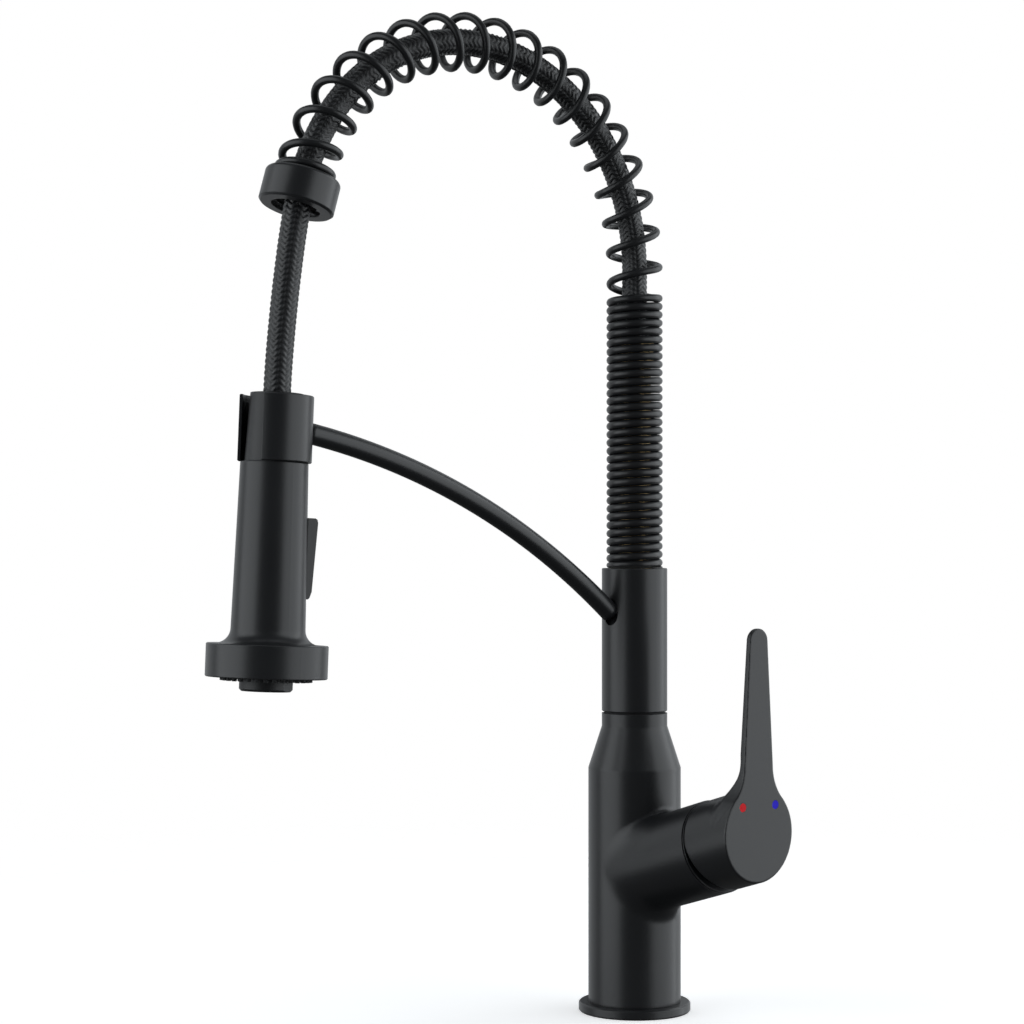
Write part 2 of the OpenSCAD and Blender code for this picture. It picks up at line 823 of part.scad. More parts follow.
module holder_clip() {
    color("#2b2d30")
        difference() {
            on_wand()
                difference() {
                    turned(-clip_top - clip_h, -clip_top, clip_r, clip_in, 0.4);
                    rotate([0, 0, -90]) translate([0, 0, -clip_h - 5])
                        linear_extrude(height = clip_h + 10)
                            polygon([
                                [0, 0], 40 * [cos(clip_open), -sin(clip_open)],
                                40 * [cos(clip_open), sin(clip_open)]]);
                }
            at_arm_end() cylinder(h = 24, r = arm_bolt_r + 0.1, center = true);
        }
}

module holder_screw() {
    color("#8e9092")
        at_arm_end() {
            translate([0, 0, -10]) cylinder(h = 11 + clip_wall, r = arm_bolt_r);
            translate([0, 0, clip_wall + 0.5]) cylinder(h = 1, r = 3.4);
        }
}

module dock_magnet() {
    color("#8e9092")
        on_wand()
            intersection() {
                translate([0, clip_in - 1.2, -clip_mid - 8.5]) rotate([-90, 0, 0])
                    cylinder(h = 5, r = 3.8);
                translate([0, 0, -60]) cylinder(h = 60, r = clip_in - slip);
            }
}

module spring_collar() {
    round_r = 2;
    lip_in = coil_r + wire_d / 2 + 0.5;
    color("#2b2d30")
        on_collar()
            difference() {
                union() {
                    rotate_extrude()
                        difference() {
                            polygon([
                                [5, 0], [lip_in, 0], [lip_in, -collar_lip],
                                [collar_d / 2, -collar_lip], [collar_d / 2, collar_h - 1],
                                [collar_d / 2 - 1, collar_h], [5, collar_h]]);
                            difference() {
                                translate([collar_d / 2 - round_r, -collar_lip - 1])
                                    square([round_r + 1, round_r + 1]);
                                translate([collar_d / 2 - round_r, round_r - collar_lip])
                                    circle(r = round_r);
                            }
                        }
                    translate([0, 0, -4]) cylinder(h = 5, r = coil_in - 0.35);
                }
                translate([0, 0, -10]) cylinder(h = 40, r = hose_r + 1.2);
                translate([0, 0, collar_h - 6]) cylinder(h = 10, r = coil_in + 0.95);
            }
}

module collar_guide() {
    color("#151515")
        on_collar()
            ring(collar_h - 6 + seat_gap, collar_h - 3, coil_in + 0.9, hose_r + 0.65);
}

module collar_ring() {
    color("#8e9092")
        on_collar()
            difference() {
                ring(collar_h - 2.9, collar_h - 1.9, coil_in + 0.9, coil_in - 0.9);
                translate([0, -coil_in, collar_h - 2]) cube([5, 6, 4], center = true);
            }
}

// Hose end

module hose_nut() {
    color("#b08d57")
        on_wand()
            difference() {
                translate([0, 0, -nut_d - nut_l]) cylinder(h = nut_l, r = neck_bore - 0.5, $fn = 6);
                translate([0, 0, -nut_d - nut_l - 1]) cylinder(h = nut_l, r = inlet_r + slip);
                translate([0, 0, -nut_d - nut_l]) cylinder(h = nut_l + 1, r = 4);
            }
}

module spray_ferrule() {
    color("#b9bbbd")
        on_wand() {
            drum(5, nut_d - 3, ferrule_r, hose_r + 0.15);
            drum(nut_d - 4, nut_d - seat_gap, 7, 3.5);
        }
}

module filter_washer() {
    color("#151515") on_wand() drum(inlet_d - 0.9, inlet_d - 0.1, inlet_r - 0.2, 3);
}

// Spray

module wand_neck() {
    color("#26282b")
        on_wand()
            difference() {
                union() {
                    translate([0, 0, -grip_d0])
                        cylinder(h = grip_d0, d1 = neck_foot_d, d2 = neck_top_d);
                    translate([0, 0, -joint_d]) cylinder(h = 14, r = joint_r);
                }
                translate([0, 0, -40]) cylinder(h = 50, r = ferrule_r + 0.4);
                translate([0, 0, -flange_d0]) cylinder(h = flange_d0 - 3, r = neck_bore);
                translate([0, 0, -joint_d - 1]) cylinder(h = joint_d + 1 - flange_d0, r = joint_r - 1.4);
            }
}

module wand_shell() {
    grip_out = grip_foot_d / 2;
    head_r = head_d / 2;
    color("#2b2d30")
        on_wand()
            difference() {
                rotate_extrude()
                    polygon([
                        [4, -grip_d0], [grip_top_d / 2 - 0.4, -grip_d0],
                        [grip_top_d / 2, -grip_d0 - 0.4], [grip_out, -grip_end],
                        [grip_out, -head_d0], [head_r - 0.4, -head_d0],
                        [head_r, -head_d0 - 0.4], [head_r, -wand_l + 0.4],
                        [head_r - 0.4, -wand_l], [4, -wand_l]]);
                translate([0, 0, -joint_d]) cylinder(h = 40, r = joint_r + slip);
                translate([0, 0, -head_d0 - 3]) cylinder(h = head_d0 + 3 - joint_d, r = grip_in);
                translate([0, 0, -wand_l - 1]) cylinder(h = head_h - 1.5, r = plate_r + slip);
                rocker_room();
                translate([0, pin_y, -rocker_at]) rotate([0, 90, 0])
                    cylinder(h = 2 * grip_in - 11, r = 1.02, center = true);
            }
    color("#2b2d30")
        on_wand()
            rotate_extrude()
                difference() {
                    translate([grip_out - 1, -head_d0 - 0.5])
                        square([head_fillet + 1, head_fillet + 0.5]);
                    translate([grip_out + head_fillet, -grip_end]) circle(r = head_fillet);
                }
}

module rocker_room() {
    room_w = rocker_w + 0.8;
    swing = (rocker_in + 4.2 - pin_y) * sin(rocker_max);
    translate([-room_w / 2, rocker_clear, -rocker_at - rocker_l / 2 - 0.5])
        cube([room_w, 20, rocker_l + 1 + swing]);
}

module wand_inlet() {
    color("#b08d57")
        on_wand()
            difference() {
                union() {
                    drum(inlet_d, flange_d0 + 1, inlet_r, 3.5);
                    drum(flange_d0 + seat_gap, flange_d0 + 5, joint_r - 1.5, 3.5);
                }
                translate([0, 0, -flange_d0 - 6]) cylinder(h = 4, r = 5.1);
            }
}

module check_valve() {
    color("#e8e6df") on_wand() drum(flange_d0 + 2.1, core_d0 + 2.9, 5, 2);
}

module diverter_body() {
    core_end = head_d0 - 1;
    color("#d5d2c8")
        on_wand()
            difference() {
                union() {
                    drum(core_d0, core_end, core_r, 2);
                    drum(core_d0, core_d0 + 3, grip_in - slip, 2);
                    drum(core_end - 3, core_end, grip_in - slip, 2);
                    drum(core_end - 1, plate_d - 1.6, aerator_d / 2 - 2.4, 2);
                }
                translate([0, 0, -core_d0 - 3]) cylinder(h = 5, r = 5.1);
                translate([0, 0, -plate_d]) cylinder(h = plate_d - core_d0, r = 2.5);
                translate([0, 0, -rocker_at - spool_l / 2 - 4])
                    cylinder(h = spool_l + 8, r = spool_r + slip);
                translate([-20, rocker_clear, -core_end - 1])
                    cube([40, 20, core_end - core_d0 + 2]);
                translate([-2.2, 0, -rocker_at - 5]) cube([4.4, 20, 10]);
            }
}

module rocker_pin() {
    color("#b9bbbd")
        on_wand()
            translate([0, pin_y, -rocker_at]) rotate([0, 90, 0])
                cylinder(h = 2 * grip_in - 11.2, r = 1, center = true);
}

module nozzle_places() {
    for (i = [0:nozzle_n - 1]) rotate([0, 0, 360 * i / nozzle_n]) translate([ring_r, 0, 0]) children();
    for (i = [0:inner_n - 1]) rotate([0, 0, 360 * i / inner_n]) translate([inner_r, 0, 0]) children();
}

module face_plate() {
    color("#1d1e20")
        on_wand()
            difference() {
                drum(plate_d, plate_d + plate_t, plate_r, aerator_d / 2 + 0.1);
                nozzle_places()
                    translate([0, 0, -plate_d - plate_t - 1])
                        cylinder(h = plate_t + 2, r = nozzle_r + slip);
            }
}

module spray_nozzles() {
    color("#3a3c40")
        on_wand() {
            drum(plate_d - 1.2, plate_d - slip, ring_r + 2.5, aerator_d / 2 + 0.3);
            nozzle_places()
                translate([0, 0, -wand_l - nozzle_out])
                    cylinder(h = wand_l + nozzle_out - plate_d + 0.5, r = nozzle_r);
        }
}

module aerator_housing() {
    aer_r = aerator_d / 2;
    foot = wand_l + aerator_out;
    color("#26282b")
        on_wand()
            difference() {
                turned(-foot, -plate_d + 1.4, aer_r, aer_r - 1.5, 1);
                for (side = [-1, 1]) rotate([0, 0, 30])
                    translate([side * (aer_r + 4.1), 0, -foot])
                        cube([10, 30, 2 * aerator_out - 4], center = true);
            }
}

module aerator_insert() {
    insert_r = aerator_d / 2 - 1.6;
    hole_pitch = 2.7;
    color("#3a3c40")
        on_wand()
            difference() {
                drum(plate_d + 1, wand_l + aerator_out - 0.8, insert_r, 0.6);
                for (i = [-3:3], j = [-3:3]) {
                    x = hole_pitch * (i + j / 2);
                    y = hole_pitch * j * sqrt(3) / 2;
                    if (norm([x, y]) < insert_r - 1.6 && norm([x, y]) > 1)
                        translate([x, y, -wand_l - aerator_out]) cylinder(h = 30, r = 0.9);
                }
            }
}

module spray_rocker() {
    half = rocker_l / 2;
    color("#232528")
        on_wand()
            translate([0, 0, -rocker_at])
                difference() {
                    union() {
                        translate([-rocker_w / 2, 0, 0]) rotate([90, 0, 90])
                            linear_extrude(height = rocker_w)
                                polygon([
                                    [rocker_in, half], [18.8, half], [19.9, half - 0.6],
                                    [20.3, half - 2.2], [18.1, -half + 3.6],
                                    [17, -half + 0.8], [16.2, -half], [rocker_in, -half]]);
                        translate([-6.5, pin_y - 2.2, -2.4]) cube([13, rocker_in + 2.7 - pin_y, 4.8]);
                        rotate([90, 0, 0]) translate([0, 0, -pin_y])
                            cylinder(h = pin_y - finger_y - 0.6, r = 1.6);
                    }
                    translate([0, pin_y, 0]) rotate([0, 90, 0])
                        cylinder(h = 40, r = 1 + slip, center = true);
                }
}

module diverter_spool() {
    color("#b9bbbd")
        on_wand()
            difference() {
                drum(rocker_at - spool_l / 2, rocker_at + spool_l / 2, spool_r, 1.2);
                drum(rocker_at - 2, rocker_at + 2, spool_r + 1, 3);
                for (d = [-14, -8, 8, 14])
                    drum(rocker_at + d - 1.1, rocker_at + d + 1.1, spool_r + 1, spool_r - 1.6);
            }
}

module spool_seals() {
    color("#151515")
        on_wand()
            for (d = [-14, -8, 8, 14]) torus(-rocker_at - d, spool_r - 0.75, 0.78);
}

base_flange();
base_seal();
valve_body();
mounting_shank();
deck_gasket();
clamp_washer();
mounting_nut();
clamp_screws();
cartridge_seals();
cartridge_base();
cartridge_housing();
fixed_disc();
retaining_nut();
bonnet_ring();
thrust_washer();
swivel_post();
swivel_bushes();
swivel_orings();
retaining_clip();
cartridge_rotor();
stem_pin();
moving_disc();
disc_driver();
lever_handle();
cartridge_stem();
grub_screw();
screw_plug();
hot_mark();
cold_mark();
spout_sleeve();
riser_pipe();
spring_seat();
spring();
hose_coupling();
riser_ferrule();
hose();
support_arm();
holder_clip();
holder_screw();
dock_magnet();
spring_collar();
collar_guide();
collar_ring();
hose_nut();
spray_ferrule();
filter_washer();
wand_neck();
wand_shell();
wand_inlet();
check_valve();
diverter_body();
rocker_pin();
face_plate();
spray_nozzles();
aerator_housing();
aerator_insert();
spray_rocker();
diverter_spool();
spool_seals();
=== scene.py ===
import json
import math

import bmesh
import bpy
import numpy as np
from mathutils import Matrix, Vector


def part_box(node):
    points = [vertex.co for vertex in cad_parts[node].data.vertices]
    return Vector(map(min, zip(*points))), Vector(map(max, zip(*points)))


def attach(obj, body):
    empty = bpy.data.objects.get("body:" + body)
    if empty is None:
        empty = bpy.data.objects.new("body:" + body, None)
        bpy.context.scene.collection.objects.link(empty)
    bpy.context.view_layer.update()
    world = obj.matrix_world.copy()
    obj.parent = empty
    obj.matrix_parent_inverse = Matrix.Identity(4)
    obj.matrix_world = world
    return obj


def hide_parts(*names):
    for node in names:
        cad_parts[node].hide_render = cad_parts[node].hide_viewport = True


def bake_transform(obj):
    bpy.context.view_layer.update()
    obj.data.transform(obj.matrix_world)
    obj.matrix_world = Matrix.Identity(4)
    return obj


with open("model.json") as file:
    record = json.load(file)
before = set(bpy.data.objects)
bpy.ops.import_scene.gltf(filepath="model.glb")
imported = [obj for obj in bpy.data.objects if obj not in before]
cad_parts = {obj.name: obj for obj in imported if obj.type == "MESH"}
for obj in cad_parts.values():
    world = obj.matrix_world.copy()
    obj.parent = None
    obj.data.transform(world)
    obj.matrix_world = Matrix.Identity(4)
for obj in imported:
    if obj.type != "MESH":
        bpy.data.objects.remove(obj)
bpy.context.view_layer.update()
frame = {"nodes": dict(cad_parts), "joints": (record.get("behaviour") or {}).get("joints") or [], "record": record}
nodes = frame["nodes"]
joints = {j["name"]: j for j in frame["joints"]}
print("frame loaded with", len(nodes), "parts")

mm = 0.001

# camera, lights and floor

studio = {
    "cameraPlace": (0.9571, -0.8513, 0.2491),
    "cameraTurn": 51.2,         # degrees about the upright
    "lens": 86.48,
    "frameLift": 0.01855,
    "softboxes": {              # degrees round the object from the camera, width, power
        "left": (-64.0, 1.8, 21.0),
        "right": (84.0, 2.7, 30.0),
        "leftRear": (-138.0, 2.0, 7.0),
        "rightRear": (142.0, 2.0, 9.0),
    },
    "softboxHeight": 2.0,
    "softboxTone": (0.93, 0.97, 1.0),
    "topPower": 3.2,
    "floorTone": (0.86, 0.865, 0.87),
    "floorGlow": 0.46,
    "floorBounce": 0.07,        # how much of the floor the object itself sees
    "floorClear": 0.16,         # the floor fades into the backdrop from here
    "floorGone": 0.9,
    "roomTone": 0.12,
    "roomBelow": 0.012,
}

camera = bpy.data.objects.new("camera", bpy.data.cameras.new("camera"))
camera.data.lens = studio["lens"]
camera.data.sensor_width = 36
camera.data.shift_y = studio["frameLift"]
camera.data.clip_start = 0.05
camera.location = studio["cameraPlace"]
camera.rotation_euler = (math.radians(90), 0, math.radians(studio["cameraTurn"]))
bpy.context.scene.collection.objects.link(camera)
bpy.context.scene.camera = camera
bpy.context.scene.view_settings.view_transform = "Standard"


def addSoftbox(name, place, aim, size, power):
    lamp = bpy.data.lights.new(name, "AREA")
    lamp.shape = "RECTANGLE"
    lamp.size, lamp.size_y = size
    lamp.energy = power
    lamp.color = studio["softboxTone"]
    box = bpy.data.objects.new(name, lamp)
    box.location = place
    box.rotation_euler = (Vector(aim) - Vector(place)).to_track_quat("-Z", "Y").to_euler()
    bpy.context.scene.collection.objects.link(box)


def aroundObject(turn, distance, height):
    # a place round the object, turned from the camera's side
    angle = math.atan2(studio["cameraPlace"][1], studio["cameraPlace"][0]) + math.radians(turn)
    return (distance * math.cos(angle), -0.09 + distance * math.sin(angle), height)


centreAim = (0.02, -0.09, 0.26)
for side, (turned, wide, power) in studio["softboxes"].items():
    addSoftbox(side + "Softbox", aroundObject(turned, 1.5, 0.5), centreAim,
               (wide, studio["softboxHeight"]), power)
addSoftbox("topSoftbox", (-0.25, 0.15, 1.7), centreAim, (1.2, 1.2), studio["topPower"])

world = bpy.data.worlds.new("studioRoom")
bpy.context.scene.world = world
world.use_nodes = True
roomTree = world.node_tree
roomTree.nodes.clear()
roomOut = roomTree.nodes.new("ShaderNodeOutputWorld")
roomMix = roomTree.nodes.new("ShaderNodeMixShader")
roomPath = roomTree.nodes.new("ShaderNodeLightPath")
roomDim = roomTree.nodes.new("ShaderNodeBackground")
roomWhite = roomTree.nodes.new("ShaderNodeBackground")
roomDim.inputs["Color"].default_value = (0.9, 0.95, 1.0, 1)
roomWay = roomTree.nodes.new("ShaderNodeSeparateXYZ")
roomFade = roomTree.nodes.new("ShaderNodeMapRange")
roomTree.links.new(roomTree.nodes.new("ShaderNodeTexCoord").outputs["Generated"], roomWay.inputs[0])
roomTree.links.new(roomWay.outputs["Z"], roomFade.inputs["Value"])
roomFade.inputs["From Min"].default_value = -0.35
roomFade.inputs["From Max"].default_value = -0.05
roomFade.inputs["To Min"].default_value = studio["roomBelow"]
roomFade.inputs["To Max"].default_value = studio["roomTone"]
roomTree.links.new(roomFade.outputs["Result"], roomDim.inputs["Strength"])
roomWhite.inputs["Color"].default_value = (1, 1, 1, 1)
roomTree.links.new(roomPath.outputs["Is Camera Ray"], roomMix.inputs[0])
roomTree.links.new(roomDim.outputs[0], roomMix.inputs[1])
roomTree.links.new(roomWhite.outputs[0], roomMix.inputs[2])
roomTree.links.new(roomMix.outputs[0], roomOut.inputs["Surface"])
print("camera and lights placed")

# effects that several finishes share


def startGroup(name, inputs, outputs):
    tree = bpy.data.node_groups.new(name, "ShaderNodeTree")
    for label, kind, value in inputs:
        socket = tree.interface.new_socket(label, in_out="INPUT", socket_type=kind)
        if value is not None:
            socket.default_value = value
    for label, kind in outputs:
        tree.interface.new_socket(label, in_out="OUTPUT", socket_type=kind)
    return tree, tree.nodes.new("NodeGroupInput"), tree.nodes.new("NodeGroupOutput")


def addMath(tree, operation, first, second):
    node = tree.nodes.new("ShaderNodeMath")
    node.operation = operation
    for socket, value in zip(node.inputs, (first, second)):
        if hasattr(value, "links"):
            tree.links.new(value, socket)
        elif value is not None:
            socket.default_value = value
    return node.outputs[0]


def addNoise(tree, vector, scale, detail):
    node = tree.nodes.new("ShaderNodeTexNoise")
    tree.links.new(vector, node.inputs["Vector"])
    node.inputs["Detail"].default_value = detail
    if hasattr(scale, "links"):
        tree.links.new(scale, node.inputs["Scale"])
    else:
        node.inputs["Scale"].default_value = scale
    return node.outputs["Fac"]


def makeGrainGroup():
    # fine orange-peel of a sprayed or moulded skin, with slow cloudy change over it
    tree, inside, out = startGroup(
        "fineGrain",
        [("Scale", "NodeSocketFloat", 1800.0), ("Cloud Scale", "NodeSocketFloat", 22.0)],
        [("Height", "NodeSocketFloat"), ("Cloud", "NodeSocketFloat")])
    place = tree.nodes.new("ShaderNodeTexCoord").outputs["Object"]
    fine = addNoise(tree, place, inside.outputs["Scale"], 2.0)
    coarse = addNoise(tree, place, addMath(tree, "MULTIPLY", inside.outputs["Scale"], 0.31), 1.0)
    both = addMath(tree, "ADD", addMath(tree, "MULTIPLY", fine, 0.65),
                   addMath(tree, "MULTIPLY", coarse, 0.35))
    tree.links.new(both, out.inputs["Height"])
    tree.links.new(addNoise(tree, place, inside.outputs["Cloud Scale"], 3.0), out.inputs["Cloud"])
    return tree


def makeEdgeGroup():
    # softened corners, and a mask of them for rubbed edges
    tree, inside, out = startGroup(
        "softEdge",
        [("Radius", "NodeSocketFloat", 0.0006)],
        [("Normal", "NodeSocketVector"), ("Edge", "NodeSocketFloat")])
    bevel = tree.nodes.new("ShaderNodeBevel")
    bevel.samples = 4
    tree.links.new(inside.outputs["Radius"], bevel.inputs["Radius"])
    flat = tree.nodes.new("ShaderNodeNewGeometry")
    dot = tree.nodes.new("ShaderNodeVectorMath")
    dot.operation = "DOT_PRODUCT"
    tree.links.new(bevel.outputs[0], dot.inputs[0])
    tree.links.new(flat.outputs["Normal"], dot.inputs[1])
    edge = addMath(tree, "SUBTRACT", 1.0, dot.outputs["Value"])
    clamped = tree.nodes.new("ShaderNodeMath")
    clamped.operation = "MULTIPLY"
    clamped.use_clamp = True
    tree.links.new(edge, clamped.inputs[0])
    clamped.inputs[1].default_value = 3.0
    tree.links.new(bevel.outputs[0], out.inputs["Normal"])
    tree.links.new(clamped.outputs[0], out.inputs["Edge"])
    return tree


def makeTurnedGroup():
    # rings left by turning, running round the upright or a given axis
    tree, inside, out = startGroup(
        "turnedLines",
        [("Scale", "NodeSocketFloat", 900.0)],
        [("Height", "NodeSocketFloat"), ("Streak", "NodeSocketFloat")])
    place = tree.nodes.new("ShaderNodeTexCoord").outputs["Object"]
    squash = tree.nodes.new("ShaderNodeMapping")
    squash.inputs["Scale"].default_value = (0.04, 0.04, 1.0)
    tree.links.new(place, squash.inputs["Vector"])
    lines = addNoise(tree, squash.outputs[0], inside.outputs["Scale"], 2.0)
    tree.links.new(lines, out.inputs["Height"])
    tree.links.new(addNoise(tree, squash.outputs[0], 160.0, 2.0), out.inputs["Streak"])
    return tree


grainGroup = makeGrainGroup()
edgeGroup = makeEdgeGroup()
turnedGroup = makeTurnedGroup()


def useGroup(tree, group, values):
    node = tree.nodes.new("ShaderNodeGroup")
    node.node_tree = group
    for label, value in values.items():
        node.inputs[label].default_value = value
    return node


def mapRange(tree, value, low, high):
    node = tree.nodes.new("ShaderNodeMapRange")
    tree.links.new(value, node.inputs["Value"])
    node.inputs["From Min"].default_value = 0.25
    node.inputs["From Max"].default_value = 0.75
    node.inputs["To Min"].default_value = low
    node.inputs["To Max"].default_value = high
    return node.outputs["Result"]


def blendColours(tree, mask, first, second):
    node = tree.nodes.new("ShaderNodeMix")
    node.data_type = "RGBA"
    tree.links.new(mask, node.inputs[0])
    for socket, value in ((node.inputs[6], first), (node.inputs[7], second)):
        if hasattr(value, "links"):
            tree.links.new(value, socket)
        else:
            socket.default_value = (*value, 1)
    return node.outputs[2]


def makeFinish(name, settings):
    # one Principled finish with grain, cloudy tone and rubbed corners
    material = bpy.data.materials.new(name)
    material.use_nodes = True
    tree = material.node_tree
    shader = tree.nodes["Principled BSDF"]
    effect = turnedGroup if settings.get("turned") else grainGroup
    grain = useGroup(tree, effect, {"Scale": settings["grainScale"]})
    cloud = grain.outputs["Streak" if settings.get("turned") else "Cloud"]
    edge = useGroup(tree, edgeGroup, {"Radius": settings["edge"]})
    tone = blendColours(tree, mapRange(tree, cloud, 0.0, 1.0), settings["dark"], settings["light"])
    worn = blendColours(tree, addMath(tree, "MULTIPLY", edge.outputs["Edge"], settings["wear"]),
                        tone, settings["worn"])
    rough = mapRange(tree, cloud, settings["rough"] - settings["roughChange"],
                     settings["rough"] + settings["roughChange"])
    bump = tree.nodes.new("ShaderNodeBump")
    bump.inputs["Strength"].default_value = settings["bump"]
    bump.inputs["Distance"].default_value = settings["depth"]
    tree.links.new(grain.outputs["Height"], bump.inputs["Height"])
    tree.links.new(edge.outputs["Normal"], bump.inputs["Normal"])
    tree.links.new(worn, shader.inputs["Base Color"])
    tree.links.new(rough, shader.inputs["Roughness"])
    tree.links.new(bump.outputs["Normal"], shader.inputs["Normal"])
    shader.inputs["Metallic"].default_value = settings.get("metal", 0.0)
    shader.inputs["Specular IOR Level"].default_value = settings.get("shine", 0.5)
    return material


finishes = {
    "black_coat": dict(
        dark=(0.0080, 0.0086, 0.0096), light=(0.0105, 0.0112, 0.0124), worn=(0.022, 0.023, 0.024),
        wear=0.5, rough=0.34, roughChange=0.025, bump=0.20, depth=0.00010, grainScale=2600.0,
        edge=0.0005, shine=0.46),
    "black_spring": dict(
        dark=(0.0080, 0.0085, 0.0093), light=(0.0105, 0.0111, 0.0120), worn=(0.018, 0.019, 0.020),
        wear=0.3, rough=0.34, roughChange=0.03, bump=0.16, depth=0.00008, grainScale=2600.0,
        edge=0.0002, shine=0.44),
    "black_plastic": dict(
        dark=(0.0085, 0.0090, 0.0097), light=(0.0110, 0.0115, 0.0123), worn=(0.017, 0.018, 0.019),
        wear=0.4, rough=0.44, roughChange=0.04, bump=0.35, depth=0.00014, grainScale=2200.0,
        edge=0.0004, shine=0.40),
    "black_rubber": dict(
        dark=(0.010, 0.010, 0.0105), light=(0.016, 0.016, 0.0165), worn=(0.024, 0.024, 0.024),
        wear=0.4, rough=0.72, roughChange=0.06, bump=0.3, depth=0.00012, grainScale=1500.0,
        edge=0.0003, shine=0.3),
    "grey_rubber": dict(
        dark=(0.014, 0.0145, 0.0155), light=(0.021, 0.0215, 0.0225), worn=(0.030, 0.030, 0.031),
        wear=0.4, rough=0.62, roughChange=0.05, bump=0.3, depth=0.00010, grainScale=1800.0,
        edge=0.0002, shine=0.35),
    "red_seal": dict(
        dark=(0.24, 0.030, 0.022), light=(0.31, 0.045, 0.034), worn=(0.36, 0.08, 0.06),
        wear=0.4, rough=0.55, roughChange=0.05, bump=0.25, depth=0.00010, grainScale=1500.0,
        edge=0.0003),
    "brass": dict(
        dark=(0.60, 0.43, 0.20), light=(0.74, 0.56, 0.29), worn=(0.82, 0.66, 0.38),
        wear=0.6, rough=0.30, roughChange=0.07, bump=0.35, depth=0.00010, grainScale=1100.0,
        edge=0.0004, metal=1.0, turned=True),
    "steel": dict(
        dark=(0.52, 0.53, 0.54), light=(0.66, 0.67, 0.68), worn=(0.76, 0.77, 0.78),
        wear=0.6, rough=0.27, roughChange=0.06, bump=0.3, depth=0.00008, grainScale=1300.0,
        edge=0.0003, metal=1.0, turned=True),
    "ceramic": dict(
        dark=(0.84, 0.83, 0.80), light=(0.90, 0.89, 0.86), worn=(0.93, 0.92, 0.90),
        wear=0.4, rough=0.22, roughChange=0.04, bump=0.1, depth=0.00006, grainScale=2400.0,
        edge=0.0003),
    "ivory_plastic": dict(
        dark=(0.70, 0.68, 0.61), light=(0.79, 0.77, 0.71), worn=(0.84, 0.82, 0.77),
        wear=0.4, rough=0.42, roughChange=0.05, bump=0.2, depth=0.00010, grainScale=1600.0,
        edge=0.0004),
    "hot_enamel": dict(
        dark=(0.60, 0.010, 0.016), light=(0.68, 0.018, 0.024), worn=(0.7, 0.05, 0.05),
        wear=0.3, rough=0.6, roughChange=0.05, bump=0.08, depth=0.00006, grainScale=1500.0,
        edge=0.0002, shine=0.1),
    "cold_enamel": dict(
        dark=(0.020, 0.012, 0.52), light=(0.030, 0.020, 0.62), worn=(0.06, 0.05, 0.65),
        wear=0.3, rough=0.6, roughChange=0.05, bump=0.08, depth=0.00006, grainScale=1500.0,
        edge=0.0002, shine=0.1),
}
materials = {slot: makeFinish(slot, settings) for slot, settings in finishes.items()}


braidFinish = {
    "yarn": (0.0150, 0.0158, 0.0170),
    "yarnLight": (0.0330, 0.0345, 0.0370),
    # painted shade: near-black colour for the valleys between strands
    "valleyPaintedShade": (0.0006, 0.0006, 0.0007),
    "rough": 0.31,
    "threads": 7.0,             # fine threads across one strand
    "threadDepth": 0.00010,
}


def makeBraidMaterial():
    # strands with fine threads along them; painted shade darkens the valleys where they dive under each other and
    # the grooves between the threads
    material = bpy.data.materials.new("hose_braid")
    material.use_nodes = True
    tree = material.node_tree
    shader = tree.nodes["Principled BSDF"]
    layout = tree.nodes.new("ShaderNodeUVMap")
    layout.uv_map = "strands"
    split = tree.nodes.new("ShaderNodeSeparateXYZ")
    tree.links.new(layout.outputs[0], split.inputs[0])
    turn = addMath(tree, "MULTIPLY", split.outputs["X"], 2 * math.pi * braidFinish["threads"])
    thread = addMath(tree, "MULTIPLY", addMath(tree, "ADD", addMath(tree, "SINE", turn, None), 1.0),
                     0.5)
    place = tree.nodes.new("ShaderNodeTexCoord").outputs["Object"]
    fuzz = addNoise(tree, place, 3200.0, 2.0)
    patch = addNoise(tree, place, 260.0, 2.0)
    height = addMath(tree, "ADD", addMath(tree, "MULTIPLY", thread, 0.7),
                     addMath(tree, "MULTIPLY", fuzz, 0.3))
    # painted shade: the valley colour is mixed in where the strands dip (low lift) and between the fine threads
    valleyShadeMix = addMath(tree, "MULTIPLY", split.outputs["Y"], addMath(tree, "ADD", 0.45, thread))
    yarn = blendColours(tree, mapRange(tree, patch, 0.0, 1.0), braidFinish["yarn"],
                        braidFinish["yarnLight"])
    tone = blendColours(tree, valleyShadeMix, braidFinish["valleyPaintedShade"], yarn)
    bump = tree.nodes.new("ShaderNodeBump")
    bump.inputs["Strength"].default_value = 0.6
    bump.inputs["Distance"].default_value = braidFinish["threadDepth"]
    tree.links.new(height, bump.inputs["Height"])
    tree.links.new(tone, shader.inputs["Base Color"])
    tree.links.new(mapRange(tree, fuzz, braidFinish["rough"] - 0.06, braidFinish["rough"] + 0.06),
                   shader.inputs["Roughness"])
    tree.links.new(bump.outputs["Normal"], shader.inputs["Normal"])
    shader.inputs["Specular IOR Level"].default_value = 0.6
    return material


materials["hose_braid"] = makeBraidMaterial()


